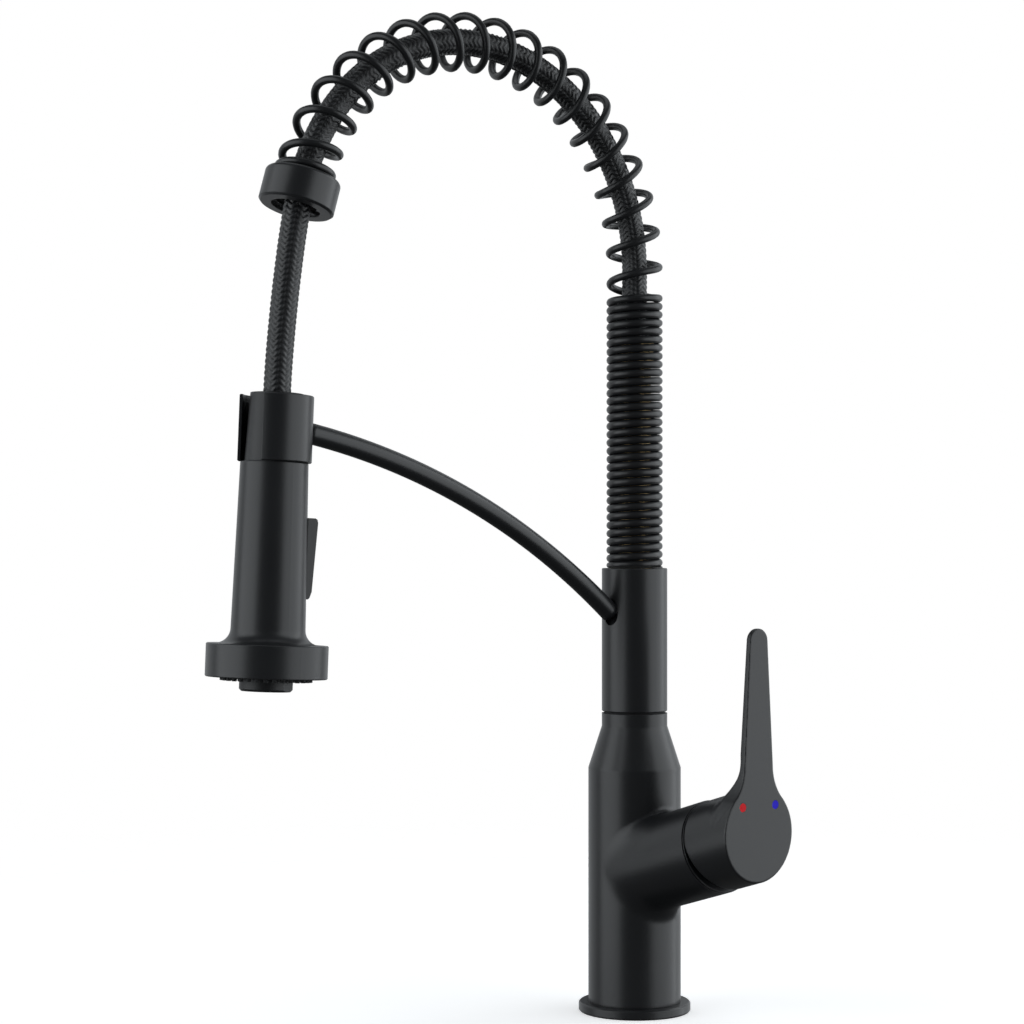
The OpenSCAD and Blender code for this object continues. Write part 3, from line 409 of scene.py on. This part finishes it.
def makeFloor():
    # a plain pale disc that fades into the backdrop
    mesh = bpy.data.meshes.new("floor")
    shape = bmesh.new()
    bmesh.ops.create_circle(shape, cap_ends=True, segments=96, radius=studio["floorGone"] + 0.1)
    shape.to_mesh(mesh)
    shape.free()
    floor = bpy.data.objects.new("floor", mesh)
    floor.location = (0.0, -0.09, 0.0)
    bpy.context.scene.collection.objects.link(floor)
    material = bpy.data.materials.new("paleFloor")
    material.use_nodes = True
    tree = material.node_tree
    shader = tree.nodes["Principled BSDF"]
    place = tree.nodes.new("ShaderNodeTexCoord").outputs["Object"]
    shader.inputs["Base Color"].default_value = (*studio["floorTone"], 1)
    tree.links.new(mapRange(tree, addNoise(tree, place, 30.0, 2.0), 0.82, 0.9),
                   shader.inputs["Roughness"])
    shader.inputs["Specular IOR Level"].default_value = 0.1
    shader.inputs["Emission Color"].default_value = (1, 1, 1, 1)
    shader.inputs["Emission Strength"].default_value = studio["floorGlow"]
    away = tree.nodes.new("ShaderNodeVectorMath")
    away.operation = "LENGTH"
    tree.links.new(place, away.inputs[0])
    fade = tree.nodes.new("ShaderNodeMapRange")
    fade.interpolation_type = "SMOOTHSTEP"
    tree.links.new(away.outputs["Value"], fade.inputs["Value"])
    fade.inputs["From Min"].default_value = studio["floorClear"]
    fade.inputs["From Max"].default_value = studio["floorGone"]
    seen = tree.nodes.new("ShaderNodeLightPath").outputs["Is Camera Ray"]
    unseen = addMath(tree, "SUBTRACT", 1.0 - studio["floorBounce"], seen)
    clear = tree.nodes.new("ShaderNodeBsdfTransparent")
    mixed = tree.nodes.new("ShaderNodeMixShader")
    tree.links.new(addMath(tree, "MAXIMUM", fade.outputs[0], unseen), mixed.inputs[0])
    tree.links.new(shader.outputs[0], mixed.inputs[1])
    tree.links.new(clear.outputs[0], mixed.inputs[2])
    tree.links.new(mixed.outputs[0], tree.nodes["Material Output"].inputs["Surface"])
    mesh.materials.append(material)


makeFloor()
print("finishes made:", len(materials))

for part in frame["record"]["subparts"]:
    skin = nodes[part["node"]].data
    skin.materials.clear()
    skin.materials.append(materials[part["material_slot"]])

# places taken from the frame

stubAxis = np.array(joints["handle_turn"]["axis"], float)
pinPlace = np.array(joints["handle_turn"]["pos_m"], float) / mm
downAxis = np.array(joints["spray_pull"]["axis"], float)
wandTop = np.array(joints["spray_turn"]["pos_m"], float) / mm - 26.0 * downAxis
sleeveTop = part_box("spout_sleeve")[1].z / mm
stubStart = pinPlace - 50.0 * stubAxis
stubDown = np.array([stubAxis[2], 0.0, -stubAxis[0]])


def makePiece(name, points, faces, slot, body, stands, layout=None):
    # points in millimetres; layout is one pair of numbers for each point
    mesh = bpy.data.meshes.new(name)
    mesh.from_pydata((np.asarray(points) * mm).tolist(), [], faces)
    mesh.update()
    if layout is not None:
        uv = mesh.uv_layers.new(name="strands")
        corner = np.zeros(len(mesh.loops), np.int32)
        mesh.loops.foreach_get("vertex_index", corner)
        uv.data.foreach_set("uv", np.asarray(layout, np.float32)[corner].ravel())
    mesh.polygons.foreach_set("use_smooth", [True] * len(mesh.polygons))
    piece = bpy.data.objects.new(name, mesh)
    bpy.context.scene.collection.objects.link(piece)
    mesh.materials.append(materials[slot])
    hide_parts(*stands)
    if isinstance(body, str):
        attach(piece, body)
    return piece


def tubeFaces(rings, around):
    faces = []
    for i in range(rings - 1):
        for k in range(around):
            n = (k + 1) % around
            faces.append((i * around + k, i * around + n, (i + 1) * around + n, (i + 1) * around + k))
    faces.append(tuple(range(around - 1, -1, -1)))
    faces.append(tuple((rings - 1) * around + k for k in range(around)))
    return faces


# the spring's line goes up from the sleeve, over the arch and down to the collar

springSizes = {
    "outside": 29.3,
    "wire": 3.9,
    "closeWire": 4.2,           # the same wire drawn a shade fuller where it is wound close
    "closeTurns": 32.3,
    "closePitch": 4.29,
    "openTurns": 18.3,
    "endTurns": 0.9,
    "straight": 13.5,
    "archRadius": 105.7,
    "endLean": 16.5,
    "topPhase": 75.0,           # where the wire leaves the close winding, in degrees
}
closeTop = sleeveTop + springSizes["wire"] / 2 + springSizes["closeTurns"] * springSizes["closePitch"]
archZ = closeTop + springSizes["straight"]
archTurn = math.radians(180 - springSizes["endLean"])
archLength = springSizes["straight"] + springSizes["archRadius"] * archTurn
openPitch = (archLength - springSizes["wire"] / 2 - springSizes["closePitch"]) / springSizes["openTurns"]
archEnd = np.array([springSizes["archRadius"] * (1 - math.cos(archTurn)),
                    archZ + springSizes["archRadius"] * math.sin(archTurn)])


def middleLine(along):
    # reach, height and heading of the hose's middle, from the top of the close winding
    heading = np.clip((along - springSizes["straight"]) / springSizes["archRadius"], 0, None)
    radius = springSizes["archRadius"]
    reach = radius * (1 - np.cos(heading))
    height = np.where(along < springSizes["straight"], closeTop + along,
                      archZ + radius * np.sin(heading))
    return reach, height, heading


def makeSpring():
    s = springSizes
    around = 14
    turns = s["closeTurns"] + s["openTurns"] + s["endTurns"]
    close = np.linspace(-0.9, s["closeTurns"], int(s["closeTurns"] * 34), endpoint=False)
    loose = np.linspace(s["closeTurns"], turns, int((turns - s["closeTurns"]) * 44))
    v = np.concatenate([close, loose])
    opened = np.clip(v - s["closeTurns"], 0, s["openTurns"]) * openPitch
    along = (np.minimum(v - s["closeTurns"], 0) * s["closePitch"] + opened
             + np.clip(v - s["closeTurns"] - s["openTurns"], 0, None) * s["closePitch"])
    reach, height, heading = middleLine(along)
    angle = np.radians(s["topPhase"]) + 2 * math.pi * (v - s["closeTurns"])
    out = np.stack([np.cos(angle), np.sin(angle) * np.cos(heading),
                    np.sin(angle) * np.sin(heading)], 1)
    full = np.clip(s["closeTurns"] - v, 0, 1)
    radius = (s["wire"] + (s["closeWire"] - s["wire"]) * full) / 2
    ground = radius + np.minimum(v, 0) * s["closePitch"] / 2      # the first turn is ground flat
    height = np.where(v < 0, sleeveTop + ground, height)
    radius = np.minimum(radius, ground)
    middle = np.stack([0 * reach, -reach, height], 1) + (s["outside"] / 2 - radius)[:, None] * out
    tangent = np.gradient(middle, axis=0)
    tangent /= np.linalg.norm(tangent, axis=1)[:, None]
    side = np.cross(tangent, out)
    side /= np.linalg.norm(side, axis=1)[:, None]
    up = np.cross(side, tangent)
    turn = 2 * math.pi * np.arange(around) / around
    points = (middle[:, None, :] + radius[:, None, None]
              * (np.cos(turn)[None, :, None] * up[:, None, :]
                 + np.sin(turn)[None, :, None] * side[:, None, :]))
    # rounded cut ends
    first, last = points[0], points[-1]
    capA = middle[0] + (first - middle[0]) * 0.7 - tangent[0] * 0.5
    capB = middle[-1] + (last - middle[-1]) * 0.7 + tangent[-1] * 0.5
    points = np.concatenate([capA[None], points, capB[None]])
    return makePiece("springWire", points.reshape(-1, 3), tubeFaces(len(points), around),
                     "black_spring", "spout", ["spring"])


makeSpring()
print("spring wound")

# the hose's braid is chevron columns of strands round its middle line

hoseSizes = {
    "diameter": 13.1,           # over the crests
    "columns": 6,               # chevron columns round the hose
    "chevron": 2.7,             # spacing of the chevrons
    "slope": 0.75,              # rise of a strand for its run across
    "depth": 0.72,              # depth of the valleys between strands
    "step": 0.34,
    "around": 72,
    "pull": 24.0,
    "intoNeck": 14.0,
    "below": 30.0,              # hidden length inside the close winding
}


def makeHose():
    s = hoseSizes
    free = springSizes["archRadius"] * archTurn + springSizes["straight"]
    along = np.arange(-s["below"], free, s["step"])
    reach, height, heading = middleLine(along)
    height = np.where(along < 0, closeTop + along, height)
    line = np.stack([reach, height], 1)
    endWay = np.array([math.sin(archTurn), math.cos(archTurn)])
    dock = np.array([-wandTop[1], wandTop[2]])
    down = np.array([-downAxis[1], downAxis[2]])
    a, b = archEnd, archEnd + s["pull"] * endWay
    c, d = dock - s["pull"] * down, dock
    t = np.linspace(0, 1, 400)[:, None]
    curve = (1 - t) ** 3 * a + 3 * (1 - t) ** 2 * t * b + 3 * (1 - t) * t * t * c + t ** 3 * d
    tail = dock + np.arange(s["step"], s["intoNeck"], s["step"])[:, None] * down
    rough = np.concatenate([line, curve[1:], tail])
    length = np.concatenate([[0], np.cumsum(np.linalg.norm(np.diff(rough, axis=0), axis=1))])
    count = int(length[-1] / s["step"])
    u = np.linspace(0, length[-1], count)
    line = np.stack([np.interp(u, length, rough[:, 0]), np.interp(u, length, rough[:, 1])], 1)
    way = np.gradient(line, axis=0)
    way /= np.linalg.norm(way, axis=1)[:, None]
    across = np.stack([-way[:, 1], way[:, 0]], 1)      # in the plane of the arch
    around = s["around"]
    turn = 2 * math.pi * np.arange(around) / around
    halves = 2 * s["columns"]
    place = turn / (2 * math.pi) * halves + 0.05
    half = np.floor(place).astype(int)
    x = place - half - 0.5
    sign = np.where(half % 2 == 0, 1.0, -1.0)
    halfWidth = math.pi * s["diameter"] / halves
    phase = (u[:, None] + (sign * x * halfWidth * s["slope"])[None, :]) / s["chevron"]
    ridge = np.abs(np.cos(math.pi * phase))
    outer = np.where(half % 2 == 0, x > 0, x < 0)      # a column's own edge, not its middle
    crown = (1 - np.where(outer, 0.8, 0.4) * (2 * np.abs(x)) ** 3)[None, :]
    lift = ridge * crown
    radius = s["diameter"] / 2 - s["depth"] * (1 - lift)
    centre = np.stack([0 * u, -line[:, 0], line[:, 1]], 1)
    side = np.array([1.0, 0.0, 0.0])
    inPlane = np.stack([0 * u, -across[:, 0], across[:, 1]], 1)
    points = (centre[:, None, :]
              + (radius * np.cos(turn)[None, :])[:, :, None] * side[None, None, :]
              + (radius * np.sin(turn)[None, :])[:, :, None] * inPlane[:, None, :])
    layout = np.stack([phase, np.clip(lift, 0, 1)], 2).reshape(-1, 2)
    hose = makePiece("braidedHose", points.reshape(-1, 3), tubeFaces(count, around),
                     "hose_braid", None, ["hose"], layout=layout)
    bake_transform(hose)
    print("hose braided, its middle line is", round(float(length[-1])), "mm long")


makeHose()

armSizes = {
    "diameter": 10.0,
    "centreReach": 280.1,
    "centreHeight": -110.0,
    "radius": 412.0,
    "start": 129.69,            # degrees round the arc, in the sleeve
    "end": 100.49,              # in the clip
    "around": 40,
}


def makeArm():
    s = armSizes
    angle = np.radians(np.linspace(s["start"], s["end"], 90))
    reach = s["centreReach"] + s["radius"] * np.cos(angle)
    height = s["centreHeight"] + s["radius"] * np.sin(angle)
    centre = np.stack([0 * reach, -reach, height], 1)
    outward = np.stack([0 * angle, -np.cos(angle), np.sin(angle)], 1)
    turn = 2 * math.pi * np.arange(s["around"]) / s["around"]
    points = (centre[:, None, :] + s["diameter"] / 2
              * (np.cos(turn)[None, :, None] * np.array([1.0, 0.0, 0.0])
                 + np.sin(turn)[None, :, None] * outward[:, None, :]))
    return makePiece("armTube", points.reshape(-1, 3), tubeFaces(len(angle), s["around"]),
                     "black_coat", "spout", ["support_arm"])


makeArm()

# the column and the handle are skins drawn on to a measured distance


def roundUnion(a, b, radius):
    return (np.maximum(radius, np.minimum(a, b))
            - np.hypot(np.maximum(radius - a, 0), np.maximum(radius - b, 0)))


def ballUnion(a, b, radius, level):
    # fillet of a ball rolled along two skins, level is the cosine between their normals
    u, v = radius - a, radius - b
    between = (u > 0) & (v > 0) & (u > level * v) & (v > level * u)
    away = np.sqrt(np.maximum(u * u + v * v - 2 * level * u * v, 0) / (1 - level * level))
    return np.where(between, radius - away, np.minimum(a, b))


def roundCut(a, b, radius):
    return (np.minimum(-radius, np.maximum(a, b))
            + np.hypot(np.maximum(a + radius, 0), np.maximum(b + radius, 0)))


def stubPlace(p):
    rel = p - stubStart
    along = rel @ stubAxis
    down = rel @ stubDown
    return along, down, rel[:, 1]


def gradientOf(distance, p, step=0.02):
    grad = np.empty_like(p)
    for k in range(3):
        move = np.zeros(3)
        move[k] = step
        grad[:, k] = (distance(p + move) - distance(p - move)) / (2 * step)
    return grad


def roughSolid(pieces):
    # overlapping closed cylinders and blocks as one mesh, in millimetres
    shape = bmesh.new()
    for kind, matrixPoints in pieces:
        made = [shape.verts.new(Vector(p) * mm) for p in matrixPoints]
        count = len(made) // 2
        for k in range(count):
            n = (k + 1) % count
            shape.faces.new((made[k], made[n], made[count + n], made[count + k]))
        shape.faces.new(made[:count][::-1])
        shape.faces.new(made[count:])
    bmesh.ops.recalc_face_normals(shape, faces=shape.faces)
    return shape


def prism(outline, low, high, place):
    # outline in two directions of place, swept from low to high along the third
    start, first, second, third = place
    ring = [start + first * a + second * b for a, b in outline]
    return ("prism", [r + third * low for r in ring] + [r + third * high for r in ring])


def circleOutline(radius, count=72):
    turn = 2 * math.pi * np.arange(count) / count
    return list(zip(radius * np.cos(turn), radius * np.sin(turn)))


def skinFrom(name, pieces, distance, voxel, rounds):
    # remesh the rough solid evenly, then draw every point on to the true surface
    shape = roughSolid(pieces)
    mesh = bpy.data.meshes.new(name + "Rough")
    shape.to_mesh(mesh)
    shape.free()
    rough = bpy.data.objects.new(name + "Rough", mesh)
    bpy.context.scene.collection.objects.link(rough)
    remesh = rough.modifiers.new("even", "REMESH")
    remesh.mode = "VOXEL"
    remesh.voxel_size = voxel * mm
    depsgraph = bpy.context.evaluated_depsgraph_get()
    even = bpy.data.meshes.new_from_object(rough.evaluated_get(depsgraph))
    bpy.data.objects.remove(rough)
    p = np.zeros(len(even.vertices) * 3)
    even.vertices.foreach_get("co", p)
    p = p.reshape(-1, 3) / mm
    edges = np.zeros(len(even.edges) * 2, np.int64)
    even.edges.foreach_get("vertices", edges)
    edges = edges.reshape(-1, 2)
    degree = np.bincount(edges.ravel(), minlength=len(p)).astype(float)[:, None]

    def settle(p, times):
        for _ in range(times):
            d = distance(p)
            g = gradientOf(distance, p)
            p = p - np.clip(d, -0.8, 0.8)[:, None] * g / np.maximum((g * g).sum(1), 0.2)[:, None]
        return p

    p = settle(p, 6)
    for _ in range(rounds):
        mean = np.zeros_like(p)
        np.add.at(mean, edges[:, 0], p[edges[:, 1]])
        np.add.at(mean, edges[:, 1], p[edges[:, 0]])
        g = gradientOf(distance, p)
        g /= np.maximum(np.linalg.norm(g, axis=1), 1e-6)[:, None]
        slide = mean / degree - p
        slide -= (slide * g).sum(1)[:, None] * g
        p = settle(p + 0.5 * slide, 2)
    p = settle(p, 3)
    even.vertices.foreach_set("co", (p * mm).ravel())
    even.update()
    return even


def trimMesh(mesh, planes):
    # cut the mesh off at each plane, and close the cut
    shape = bmesh.new()
    shape.from_mesh(mesh)
    for place, way in planes:
        every = shape.verts[:] + shape.edges[:] + shape.faces[:]
        cut = bmesh.ops.bisect_plane(shape, geom=every, dist=1e-7, plane_co=Vector(place) * mm,
                                     plane_no=Vector(way), clear_outer=True)
        rim = [e for e in cut["geom_cut"] if isinstance(e, bmesh.types.BMEdge)]
        bmesh.ops.contextual_create(shape, geom=rim)
    bmesh.ops.recalc_face_normals(shape, faces=shape.faces)
    shape.to_mesh(mesh)
    shape.free()


def cutBores(piece, bores):
    # each bore is a closed prism taken out of the piece
    for k, bore in enumerate(bores):
        shape = roughSolid([bore])
        mesh = bpy.data.meshes.new("bore")
        shape.to_mesh(mesh)
        shape.free()
        tool = bpy.data.objects.new("bore", mesh)
        bpy.context.scene.collection.objects.link(tool)
        step = piece.modifiers.new("bore" + str(k), "BOOLEAN")
        step.operation = "DIFFERENCE"
        step.solver = "EXACT"
        step.object = tool
        depsgraph = bpy.context.evaluated_depsgraph_get()
        done = bpy.data.meshes.new_from_object(piece.evaluated_get(depsgraph))
        piece.modifiers.clear()
        piece.data = done
        bpy.data.objects.remove(tool)


def finishSkin(mesh, name, slot, body, stands, bores):
    piece = bpy.data.objects.new(name, mesh)
    bpy.context.scene.collection.objects.link(piece)
    cutBores(piece, bores)
    shape = bmesh.new()
    shape.from_mesh(piece.data)
    for face in shape.faces:
        face.smooth = True
    for edge in shape.edges:
        if len(edge.link_faces) == 2 and edge.calc_face_angle(0) > math.radians(32):
            edge.smooth = False
    shape.to_mesh(piece.data)
    shape.free()
    piece.data.materials.clear()
    piece.data.materials.append(materials[slot])
    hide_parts(*stands)
    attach(piece, body)
    return piece


upAxis = np.array([0.0, 0.0, 1.0])
sideX = np.array([1.0, 0.0, 0.0])
sideY = np.array([0.0, 1.0, 0.0])
origin = np.zeros(3)
uprightFrame = (origin, sideX, sideY, upAxis)
stubFrame = (stubStart, stubDown, sideY, stubAxis)

columnSizes = {
    "radius": 24.0,
    "shoulder": 126.3,
    "neckStart": 147.9,
    "neckRadius": 17.0,
    "foot": 5.0,
    "stubRadius": 23.6,
    "stubEnd": 65.0,
    "filletTop": 3.0,
    "filletSide": 30.0,
    "filletFoot": 10.5,
    "stubBore": 21.35,
    "shoulderStart": 50.0,      # along the stub, where the retaining nut seats
    "cartridgeBore": 17.6,
    "cartridgeSeat": 26.0,      # along the stub, the floor of the cartridge's well
    "neckBore": 11.05,
    "postStart": 122.0,
    "waterBore": 6.0,
    "waterStart": 78.9,
    "threadBore": 15.05,
    "threadTop": 25.0,
    "cornerBand": 0.55,         # share of a voxel drawn on to the cone's corners
    "rounds": 14,
    "voxel": 1.0,
}
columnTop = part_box("valve_body")[1].z / mm


def columnDistance(p):
    s = columnSizes
    out = np.hypot(p[:, 0], p[:, 1])
    rise = (s["radius"] - s["neckRadius"]) / (s["neckStart"] - s["shoulder"])
    cone = s["radius"] - (p[:, 2] - s["shoulder"]) * rise
    profile = np.clip(cone, s["neckRadius"], s["radius"])
    column = out - profile
    along, down, side = stubPlace(p)
    a, b = np.hypot(down, side) - s["stubRadius"], -along
    stub = np.minimum(np.maximum(a, b), 0) + np.hypot(np.maximum(a, 0), np.maximum(b, 0))
    turn = np.clip(down / s["stubRadius"], -1, 1)
    radius = np.interp(turn, (-1.0, -0.6, 0.0, 1.0),
                       (s["filletTop"], s["filletSide"] * 0.6, s["filletSide"], s["filletFoot"]))
    radius = 0.05 + radius * np.clip((along + 18) / 10, 0, 1)      # none on the column's far side
    level = (p[:, 0] * (down * stubDown[0]) + p[:, 1] * side) / np.maximum(
        out * np.hypot(down, side), 1e-6)
    return ballUnion(column, stub, radius, np.clip(level, -0.6, 0.985))


def makeColumn():
    s = columnSizes
    pieces = [
        prism(circleOutline(s["radius"]), -1.0, s["shoulder"], uprightFrame),
        prism(circleOutline(s["neckRadius"]), 100.0, columnTop + 6.0, uprightFrame),
        prism(circleOutline(s["radius"] - 1.5), 100.0, s["shoulder"] + 3.5, uprightFrame),
        prism(circleOutline(s["stubRadius"]), 0.0, s["stubEnd"] + 6.0, stubFrame)]
    for k in range(1, 11):
        level = s["shoulder"] + (s["neckStart"] - s["shoulder"]) * k / 10
        size = s["radius"] + (s["neckRadius"] - s["radius"]) * k / 10
        pieces.append(prism(circleOutline(size), 100.0, level, uprightFrame))
    mesh = skinFrom("column", pieces, columnDistance, s["voxel"], s["rounds"])
    # rows of points that fall on the two corners of the cone give it crisp lines
    p = np.zeros(len(mesh.vertices) * 3)
    mesh.vertices.foreach_get("co", p)
    p = p.reshape(-1, 3) / mm
    for level in (s["shoulder"], s["neckStart"]):
        near = np.abs(p[:, 2] - level) < s["cornerBand"] * s["voxel"]
        p[near, 2] = level
        size = s["radius"] if level == s["shoulder"] else s["neckRadius"]
        p[near, :2] *= (size / np.hypot(p[near, 0], p[near, 1]))[:, None]
    mesh.vertices.foreach_set("co", (p * mm).ravel())
    trimMesh(mesh, [((0, 0, s["foot"]), (0, 0, -1)), ((0, 0, columnTop), (0, 0, 1)),
                    (stubStart + stubAxis * s["stubEnd"], stubAxis)])
    bores = [
        prism(circleOutline(s["stubBore"], 96), s["shoulderStart"], 90.0, stubFrame),
        prism(circleOutline(s["cartridgeBore"], 96), s["cartridgeSeat"], 60.0, stubFrame),
        prism(circleOutline(s["neckBore"], 64), s["postStart"], 190.0, uprightFrame),
        prism(circleOutline(s["waterBore"], 48), s["waterStart"], 130.0, uprightFrame),
        prism(circleOutline(s["threadBore"], 80), -10.0, s["threadTop"], uprightFrame)]
    return finishSkin(mesh, "columnSkin", "black_coat", "base", ["valve_body"], bores)


makeColumn()
print("column made")

leverSizes = {
    "face": 92.0,
    "hubRadius": 23.0,
    "hubBack": 66.3,
    "liftRoom": 14.0,
    "roomLevel": 16.1,
    "height": 101.0,
    "tipHalf": 6.1,
    "rootHalf": 9.8,
    "tipThick": 3.0,
    "rootThick": 4.2,
    "flare": 24.0,
    "backFillet": 14.0,
    "sideFillet": 2.5,
    "edge": 0.9,
    "rim": 0.7,
    "hollow": 20.5,
    "hollowTop": 70.0,
    "boss": 8.5,
    "plug": 2.45,
    "plugPlace": 78.0,
    "voxel": 0.55,
    "rounds": 8,
}
faceZ = stubStart[2] + leverSizes["face"] * stubAxis[2] / stubAxis[0]
flareX = leverSizes["rootHalf"] + leverSizes["flare"]
flareZ = math.sqrt((leverSizes["hubRadius"] + 0.5 + leverSizes["flare"]) ** 2 - flareX ** 2)
toeShare = (leverSizes["hubRadius"] + 0.5) / (leverSizes["hubRadius"] + 0.5 + leverSizes["flare"])


def leverHalfWidth(h):
    s = leverSizes
    straight = s["rootHalf"] + (s["tipHalf"] - s["rootHalf"]) * (h - flareZ) / (
        s["height"] - s["tipHalf"] - flareZ)
    flare = flareX - np.sqrt(np.clip(s["flare"] ** 2 - (h - flareZ) ** 2, 0, None))
    toe = flareZ * toeShare
    sunk = s["hubRadius"] - 0.6 + 1.1 * np.clip((h - 6) / (toe - 6), 0, 1) ** 2
    hub = np.sqrt(np.clip(sunk ** 2 - h * h, 0.25, None))
    return np.where(h > flareZ, straight, np.where(h > toe, flare, hub))


def leverDistance(p):
    s = leverSizes
    along, down, side = stubPlace(p)
    hub = np.hypot(down, side) - s["hubRadius"]
    h = p[:, 2] - faceZ
    width = leverHalfWidth(h)
    slope = (leverHalfWidth(h + 0.05) - leverHalfWidth(h - 0.05)) / 0.1
    outline = (np.abs(p[:, 1]) - width) / np.sqrt(1 + slope * slope)
    tip = s["height"] - s["tipHalf"]
    outline = np.where(h > tip, np.hypot(p[:, 1], h - tip) - s["tipHalf"], outline)
    outline = np.maximum(outline, -h)
    share = np.clip((h - s["hubRadius"]) / (s["height"] - s["hubRadius"]), 0, 1)
    thick = s["rootThick"] + (s["tipThick"] - s["rootThick"]) * share
    back = (s["face"] - thick) - p[:, 0]
    low = np.clip((flareZ + 6 - h) / 12, 0, 1)
    blade = roundCut(outline, roundUnion(hub, back, s["backFillet"]), s["edge"] + 1.6 * low)
    above = np.clip((h - flareZ * toeShare - 4) / 8, 0, 1)
    whole = roundUnion(hub, blade, 0.05 + s["sideFillet"] * above)
    whole = roundCut(whole, p[:, 0] - s["face"], s["rim"])
    whole = roundCut(whole, s["hubBack"] - along, 0.35)
    # the room under the hub, for tipping the lever
    rel = p - pinPlace
    a, b = rel @ stubDown, rel @ stubAxis
    c, d = math.cos(math.radians(s["liftRoom"])), math.sin(math.radians(s["liftRoom"]))
    across, level = a * c + b * d, -a * d + b * c
    room = np.maximum(level - s["roomLevel"], -4.0 - across)
    whole = np.maximum(whole, -room)
    out = np.hypot(down, side)
    hollow = np.maximum(np.maximum(out - s["hollow"], along - s["hollowTop"]), s["boss"] - out)
    whole = np.maximum(whole, -hollow)
    plug = np.maximum(np.hypot(side, along - s["plugPlace"]) - s["plug"], s["hubRadius"] - 2.4 - down)
    return np.maximum(whole, -plug)


def makeLever():
    s = leverSizes
    outline = [(leverHalfWidth(np.array([float(h)]))[0], float(h)) for h in np.linspace(2, 94.5, 60)]
    tip = [(s["tipHalf"] * math.cos(t), s["height"] - s["tipHalf"] + s["tipHalf"] * math.sin(t))
           for t in np.linspace(0, math.pi, 15)]
    left = [(-w, h) for w, h in outline[::-1]]
    place = (np.array([s["face"], 0, faceZ]), sideY, upAxis, -sideX)
    pieces = [prism(outline + tip[1:-1] + left, 0.0, s["rootThick"], place)]
    # the hub as slices between its back and the upright face
    ring = []
    for level in ("back", "face"):
        for a, b in circleOutline(s["hubRadius"], 96):
            base = stubStart + stubDown * a + sideY * b
            reach = s["hubBack"] if level == "back" else (s["face"] - base[0]) / stubAxis[0]
            ring.append(base + stubAxis * reach)
    pieces.append(("prism", ring))
    # filler behind the lever, so that the surface has points to draw from
    root = s["face"] - s["rootThick"]
    top = stubStart[2] + s["hubRadius"] / stubAxis[0]
    middle = root - s["backFillet"]
    lift = top + middle * stubAxis[2] / stubAxis[0] + s["backFillet"] / stubAxis[0]
    curve = [(middle + s["backFillet"] * math.sin(t), lift - s["backFillet"] * math.cos(t))
             for t in np.linspace(math.asin(stubAxis[2]), math.pi / 2, 14)]
    outlineB = curve + [(root + 2, lift), (root + 2, top + 4.0), (middle, top - 2.0)]
    pieces.append(prism(outlineB, -s["rootHalf"], s["rootHalf"], (origin, sideX, upAxis, sideY)))
    mesh = skinFrom("lever", pieces, leverDistance, s["voxel"], s["rounds"])
    marks = []
    for mark in ("hot_mark", "cold_mark"):
        low, high = (np.array(corner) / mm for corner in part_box(mark))
        middle = (low + high) / 2
        place = (np.array([0, middle[1], middle[2]]), sideY, upAxis, sideX)
        radius = (high[1] - low[1]) / 2 + 0.03
        marks.append(prism(circleOutline(radius, 48), low[0] - 0.02, s["face"] + 1, place))
    return finishSkin(mesh, "leverSkin", "black_coat", "handle", ["lever_handle"], marks)


makeLever()
print("lever made")
